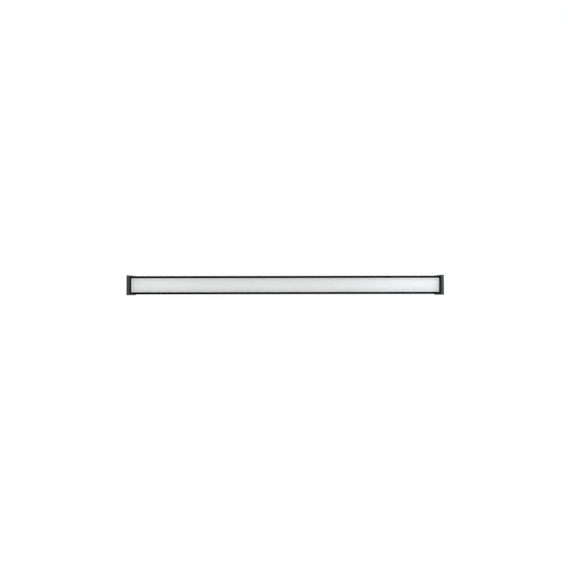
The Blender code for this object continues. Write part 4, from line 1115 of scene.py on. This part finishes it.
def driver_lid():
    """The driver's lid, with vent slots and the colour switch's window."""
    x, (back, mouth), (_, half_z) = extents("driver_lid")
    centre = sum(x) / 2
    lid = moulded_tray("driver_lid_body", centre, x[1] - centre, half_z, mouth, back, 1.2, 1.2)
    switch_x, _, switch_z = extents("switch_frame")
    gap = 0.3
    through = (back - 2, back + 2.4)
    vents = [centre + side * (30 + 6 * k) for k in range(6) for side in (-1, 1)]
    window = (widened(switch_x, gap), through, widened(switch_z, gap))
    carve(lid, [window, *((about(vent, 0.8), through, (-9, 9)) for vent in vents)])
    piece(lid, "white_plastic", "driver_lid")


# the materials of the driver's board, by their number in its mesh
DRIVER_LOOKS = ("green_circuit_board", "dark_ferrite", "zinc_plated_screw", "yellow_tape", "blue_film_case")
FERRITE, METAL, TAPE, FILM = 1, 2, 3, 4

# the driver's components: x from the board's middle, the depth of the top, z and material
COMPONENTS = (
    ((-11, -7.4), 17.6, (-10, 10), FERRITE),
    ((3.4, 7), 17.6, (-10, 10), FERRITE),
    ((-11.6, 3.6), 16.4, (-9, 9), TAPE),
    ((18, 30), 18.5, (-12, 0), TAPE),
    ((-34, -26), 19.5, (-2, 12), FILM),
    ((-38, -24), 17.5, (-11.5, -9.6), METAL),
    ((-38, -24), 18.5, (-8.4, -6.5), METAL),
    ((-33, -29), 19.5, (-9.8, -8.2), FERRITE),
    ((41.5, 50.5), 21, (-10.5, -3.5), FERRITE),
    ((43, 49), 21.6, (-9.6, -4.4), TAPE),
)
CAPACITORS = ((26, 8, 5, 16.6), (-52, 3, 6, 17), (-52, -10, 3.5, 19))  # x, z, radius, depth of the top


def capacitor_into(bm, x, z, radius, top, root):
    """An electrolytic can in a black sleeve, with its rolled groove and a bare metal top."""
    height = root - top
    place = point(x, root, z)
    sleeve = [(radius - 0.2, 0), (radius, 0.3), (radius, 1.2), (radius - 0.35, 1.7), (radius, 2.2)]
    sleeve += [(radius, height - 0.5), (radius - 0.15, height - 0.1), (radius - 0.5, height)]
    sleeve.append((radius - 0.8, height - 0.12))
    turned_into(bm, place, TO_WALL, sleeve, FERRITE)
    lid = [(radius - 0.8, height - 0.3), (radius - 0.85, height - 0.1)]
    turned_into(bm, place, TO_WALL, lid, METAL)


def driver_board():
    """The converter's board with its transformer, film and electrolytic capacitors, choke and heat sink."""
    wide, (_, front), tall = extents("driver_board")
    centre = sum(wide) / 2
    back = front - 1.6
    root = back + 0.1
    bm = bmesh.new()
    soft_block_into(bm, wide, (back, front), tall, 0.2)
    for (x0, x1), top, z, surface in COMPONENTS:
        soft_block_into(bm, (centre + x0, centre + x1), (top, root), z, 0.35, surface)
    for x, z, radius, top in CAPACITORS:
        capacitor_into(bm, centre + x, z, radius, top, root)
    board = mesh_object("driver_board_assembly", bm)
    piece(board, "green_circuit_board", "driver_board", surfaces=DRIVER_LOOKS)


def switch_frame():
    """The colour switch's body, with its slot and the track behind it."""
    x, (back, front), z = extents("switch_frame")
    wall = 0.7
    body = soft_block("switch_frame_body", x, (back, front), z, 0.25)
    carve(body, [(about(sum(x) / 2, 4.3), (back - 1, back + 2), (-1.1, 1.1))])
    carve(body, [(widened(x, -wall), (back + 1, front + 1), widened(z, -wall))])
    piece(body, "grey_plastic", "switch_frame")


def switch_slider():
    """The slider's foot runs in the track. Its knob has finger ridges and a groove that marks its middle."""
    x, (back, front), z = extents("switch_slider")
    centre = sum(x) / 2
    foot = front - 2.2
    bm = bmesh.new()
    soft_block_into(bm, x, (foot, front), z, 0.2)
    soft_block_into(bm, about(centre, 1.35), (back + 0.25, foot + 0.5), (-0.75, 0.75), 0.12)
    for k in (-2, -1, 1, 2):
        soft_block_into(bm, about(centre + 0.6 * k, 0.2), (back, foot - 0.1), (-0.8, 0.8), 0.1)
    piece(mesh_object("switch_slider_body", bm), "white_plastic", "switch_slider", "colour_slider")


# ---------------- terminal block, lug and wiring


def terminal_block():
    """A push-in connector: funnel-shaped supply ports with release buttons, and lead ports in its side."""
    (left, tip), (back, front), (_, top) = extents("terminal_block")
    right = BUSHING_X * 2 - left
    screw_x, _, screw_z = middle("terminal_block_screw")
    block = soft_block("terminal_block_body", (left, right), (back, front), (-7.5, top), 0.5)
    ports = []
    for offset in (-5, 0, 5):
        ports.append((point(BUSHING_X + offset * 1.2, back, BUSHING_Z), TO_WALL, 1.7, 10))
        ports.append((point(left, BLOCK_PORTS, BUSHING_Z + offset), ALONG, 1.6, 8))
    drill(block, ports)
    poles = [BUSHING_X + offset for offset in (-6, 0, 6)]
    funnels = bmesh.new()
    for x in poles:
        cylinder_into(funnels, point(x, back + 0.4, BUSHING_Z), TO_WALL, 1.65, 1.2, 48, 2.65)
        block_into(funnels, about(x, 1.5), about(back, 1), (5.6, 8.4))
    cut(block, funnels)
    bm = bmesh.new()
    absorb(bm, block)
    for x in poles:
        soft_block_into(bm, about(x, 1.3), (back + 0.15, back + 1.2), (5.8, 8.2), 0.2, 1)
    foot = soft_block("terminal_foot", (right - 1, tip), (front - 1.6, front), about(screw_z, 3), 0.35)
    absorb(bm, drill(foot, [(point(screw_x, front, screw_z), TO_WALL, SCREW_HOLE, 6)]))
    shell = mesh_object("terminal_block_shell", bm)
    piece(shell, "grey_plastic", "terminal_block", surfaces=("grey_plastic", "white_plastic"))


def ground_lug():
    """A tinned ring terminal, its strap and the crimped barrel round the ground wire."""
    front = extents("ground_lug")[1][1]
    x, _, z = middle("ground_lug_screw")
    sheet, lip = 0.8, 0.1
    eye, rim = 1.9, 3.6
    bm = bmesh.new()
    half = [(eye, lip), (eye + lip, 0), (rim - lip, 0), (rim, lip)]
    profile = [*half, *((r, sheet - h) for r, h in reversed(half))]
    turned_into(bm, point(x, front, z), TO_WALL, profile, closed=True)
    strap = (front - 0.9 * sheet, front - 0.1 * sheet)
    soft_block_into(bm, (x - 6, x - 2.6), strap, about(z, 1.4), 0.08)
    outer, bore, end, crimp = 1.8, 1.45, 3, 0.22
    half = [(bore, -end), (outer - lip, -end), (outer, lip - end), (outer, -1), (outer - crimp, -0.6)]
    barrel = [*half, *((r, -h) for r, h in reversed(half))]
    turned_into(bm, point(x - 7.4, front - 1.8, z), ALONG, barrel, closed=True)
    piece(mesh_object("ground_lug_ring", bm), "tinned_brass", "ground_lug")


def smooth_route(corners, spacing):
    """Points in metres along a Catmull-Rom curve through (x, depth, z) corners."""
    corners = [point(*corner) for corner in corners]
    ends = [2 * corners[0] - corners[1], *corners, 2 * corners[-1] - corners[-2]]
    points = []
    for a, b, c, d in zip(ends, ends[1:], ends[2:], ends[3:]):
        steps = max(2, round((c - b).length / (spacing * MM)))
        for i in range(steps):
            t = i / steps
            curve = (2 * a - 5 * b + 4 * c - d) * t * t + (3 * b - a - 3 * c + d) * t * t * t
            points.append(0.5 * (2 * b + (c - a) * t + curve))
    return [*points, corners[-1]]


def tube(name, route, radius, sides=20):
    """A round tube swept along a route without twisting."""
    loops = []
    across = Vector(UP)
    for i, place in enumerate(route):
        ahead = (route[min(i + 1, len(route) - 1)] - route[max(i - 1, 0)]).normalized()
        across = (across - ahead * across.dot(ahead)).normalized()
        other = ahead.cross(across)
        loop = []
        for k in range(sides):
            angle = 2 * pi * k / sides
            loop.append(place + radius * MM * (cos(angle) * across + sin(angle) * other))
        loops.append(loop)
    return loops_object(name, loops)


def mains_route(start, lane, end):
    """From the driver's end, under the clip, to a port of the terminal block."""
    start_up = [(x, DRIVER_PORTS, start) for x in (-197.6, -192, -185)]
    along = [(x, 26, lane) for x in (-165, -150, -100, -66)]
    return [*start_up, *along, *[(x, BLOCK_PORTS, end) for x in (-42, -35, -28.8)]]


def lead_route(start, end):
    """From the driver's end, through the web, to the middle board's lead socket."""
    start_up = [(x, DRIVER_PORTS, start) for x in (-197.6, -192, -187)]
    turn = [(-179, 23.4, start + 2.5), (-170, 26, end - 4), (-149, 27.4, end - 0.6)]
    through = [(-146.4, 29.4, end), (-146, 33, end), (-144.8, 35.7, end)]
    return [*start_up, *turn, *through, (-142.4, 36.2, end), (-137.6, 36.2, end)]


GROUND_ROUTE = [(-28.8, 22, -3), (-37, 22, -3), (-43, 23, -6.5), (-38, 25, -12), (-24, 27, -13)]
GROUND_ROUTE += [(6, 28.3, -12.4), (14, 28.9, -12), (19, 28.9, -12)]


def wires():
    """The insulated wires, swept along the CAD wires' routes."""
    for node, word, route, radius in (
        ("line_wire", "black", mains_route(9, 15.4, 7), 1.1),
        ("neutral_wire", "white", mains_route(5, 11.8, 2), 1.1),
        ("ground_wire", "green", GROUND_ROUTE, 1.1),
        ("led_wire_positive", "red", lead_route(-6, 7.8), 0.7),
        ("led_wire_negative", "blue", lead_route(-9, 5.2), 0.7),
    ):
        made = tube(node + "_insulation", smooth_route(route, 1.5), radius)
        piece(made, word + "_insulation", node, sharp=60)


def wire_clip():
    """A nylon saddle over the mains leads, with softened bends."""
    x, (back, foot), (low, high) = extents("wire_clip")
    wall = 1.4
    inner_low, inner_high = low + 4, high - wall
    outline = [
        (foot, low, 0.3),
        (foot, inner_low, 0.3),
        (back + wall, inner_low, 0.5),
        (back + wall, inner_high, 0.5),
        (foot, inner_high, 0.2),
        (foot, high, 0.2),
        (back, high, 1.6),
        (back, inner_low - wall, 1.6),
        (foot - wall, inner_low - wall, 0.5),
        (foot - wall, low, 0.3),
    ]
    saddle = extrude("wire_clip_saddle", fillet(outline, 0.3, 6), *x)
    piece(bevel(saddle, 0.15, 2, 60), "natural_nylon", "wire_clip")


# ---------------- camera, light and floor

CAMERA_LENS = 25.66
CAMERA_SHIFT = Vector((-0.00054, -1.169, -0.0231))  # from the middle of the plates' front, in metres
CAMERA_ROLL = -0.1  # degrees

# the studio's brightness: where along x and along y it changes, and from what to what
SIDE_RAMP = (-0.45, 0.45, 0.597, 1.652)
FRONT_RAMP = (-0.99, -0.78, 0.1, 1)


def aimed(name, data, place, ahead, roll=0):
    """A camera or light at a place in metres, looking along a direction."""
    made = bpy.data.objects.new(name, data)
    bpy.context.scene.collection.objects.link(made)
    made.location = place
    made.rotation_mode = "QUATERNION"
    turn = Matrix.Rotation(radians(roll), 3, "Z").to_quaternion()
    made.rotation_quaternion = Vector(ahead).to_track_quat("-Z", "Y") @ turn
    return made


def camera():
    data = bpy.data.cameras.new("camera")
    data.sensor_width = 36
    data.lens = CAMERA_LENS
    data.clip_start = 0.05
    data.clip_end = 50
    place = point(0, PLATE_FRONT, 0) + CAMERA_SHIFT
    ahead = (0, -CAMERA_SHIFT.y, -CAMERA_SHIFT.z)
    bpy.context.scene.camera = aimed("camera", data, place, ahead, CAMERA_ROLL)


def world():
    """Pure white behind the object. Round it is a soft studio, brighter on the right and dim in front."""
    made = bpy.data.worlds.new("studio")
    bpy.context.scene.world = made
    made.use_nodes = True
    made.node_tree.nodes.clear()
    n = Nodes(made.node_tree)
    place = n.node("ShaderNodeTexCoord").outputs["Generated"]
    toward = n.node("ShaderNodeSeparateXYZ", {0: place}).outputs
    side = n.spread(toward["X"], *SIDE_RAMP, smooth=True)
    front = n.spread(toward["Y"], *FRONT_RAMP, smooth=True)
    brightness = n.math("MULTIPLY", side, front)
    studio = n.node("ShaderNodeBackground", {"Color": (1, 1, 1, 1), "Strength": brightness})
    white = n.node("ShaderNodeBackground", {"Color": (1, 1, 1, 1)})
    seen = n.node("ShaderNodeLightPath").outputs["Is Camera Ray"]
    choose = n.node("ShaderNodeMixShader", {0: seen, 1: studio.outputs[0], 2: white.outputs[0]})
    n.node("ShaderNodeOutputWorld", {0: choose.outputs[0]})


def softbox(name, place, aim, size, power, colour=(1, 1, 1)):
    """A rectangular light. Its place, aim and size are in metres and its power in watts."""
    data = bpy.data.lights.new(name, "AREA")
    data.shape = "RECTANGLE"
    data.size, data.size_y = size
    data.energy = power
    data.color = colour
    aimed(name, data, place, Vector(aim) - Vector(place)).visible_camera = False


def floor():
    """A pale floor well below the light, reaching a little behind the wall's plane."""
    bm = bmesh.new()
    corners = [(-5000, 6000), (5000, 6000), (5000, -400), (-5000, -400)]
    bm.faces.new([bm.verts.new(point(x, depth, -1200)) for x, depth in corners])
    made = mesh_object("floor", bm)
    s = Surface("floor_paint", (0.86, 0.86, 0.86), 0.7)
    tone = s.mix(s.noise(400, 3), (0.84, 0.84, 0.84), (0.88, 0.88, 0.88))
    made.data.materials.append(s.use(Base_Color=tone))


def studio():
    camera()
    world()
    cool = (0.88, 0.95, 1)
    softbox("right_softbox", (0.445, -0.33, 0.06), (0.435, 0, 0), (0.25, 0.12), 0.178, cool)
    softbox("left_softbox", (-0.46, -0.33, 0.05), (-0.44, 0, 0), (0.15, 0.12), 0.045)
    floor()
    view = bpy.context.scene.view_settings
    view.view_transform = "Standard"
    view.look = "None"
    view.exposure = 0
    view.gamma = 1


# ---------------- assembly


def build():
    housing()
    diffuser()
    for side, word in SIDES:
        end_plate(side, word)
        end_gasket(side, word)
        place = point(side * SET_SCREW_X, SET_SCREW_DEPTH, 0)
        set_screw(word, place)
        set_screw_tip(word, place)
        clinch_nut(word, place)
    end_screws()
    pan_screws()
    for make in (wall_bracket, back_cover, wire_bushing, reflector, driver_base, driver_lid, driver_board):
        make()
    for make in (switch_frame, switch_slider, terminal_block, ground_lug, wires, wire_clip):
        make()
    for word in BOARDS:
        led_board(word)
    for _, word in SIDES:
        board_link(word)
    studio()


build()
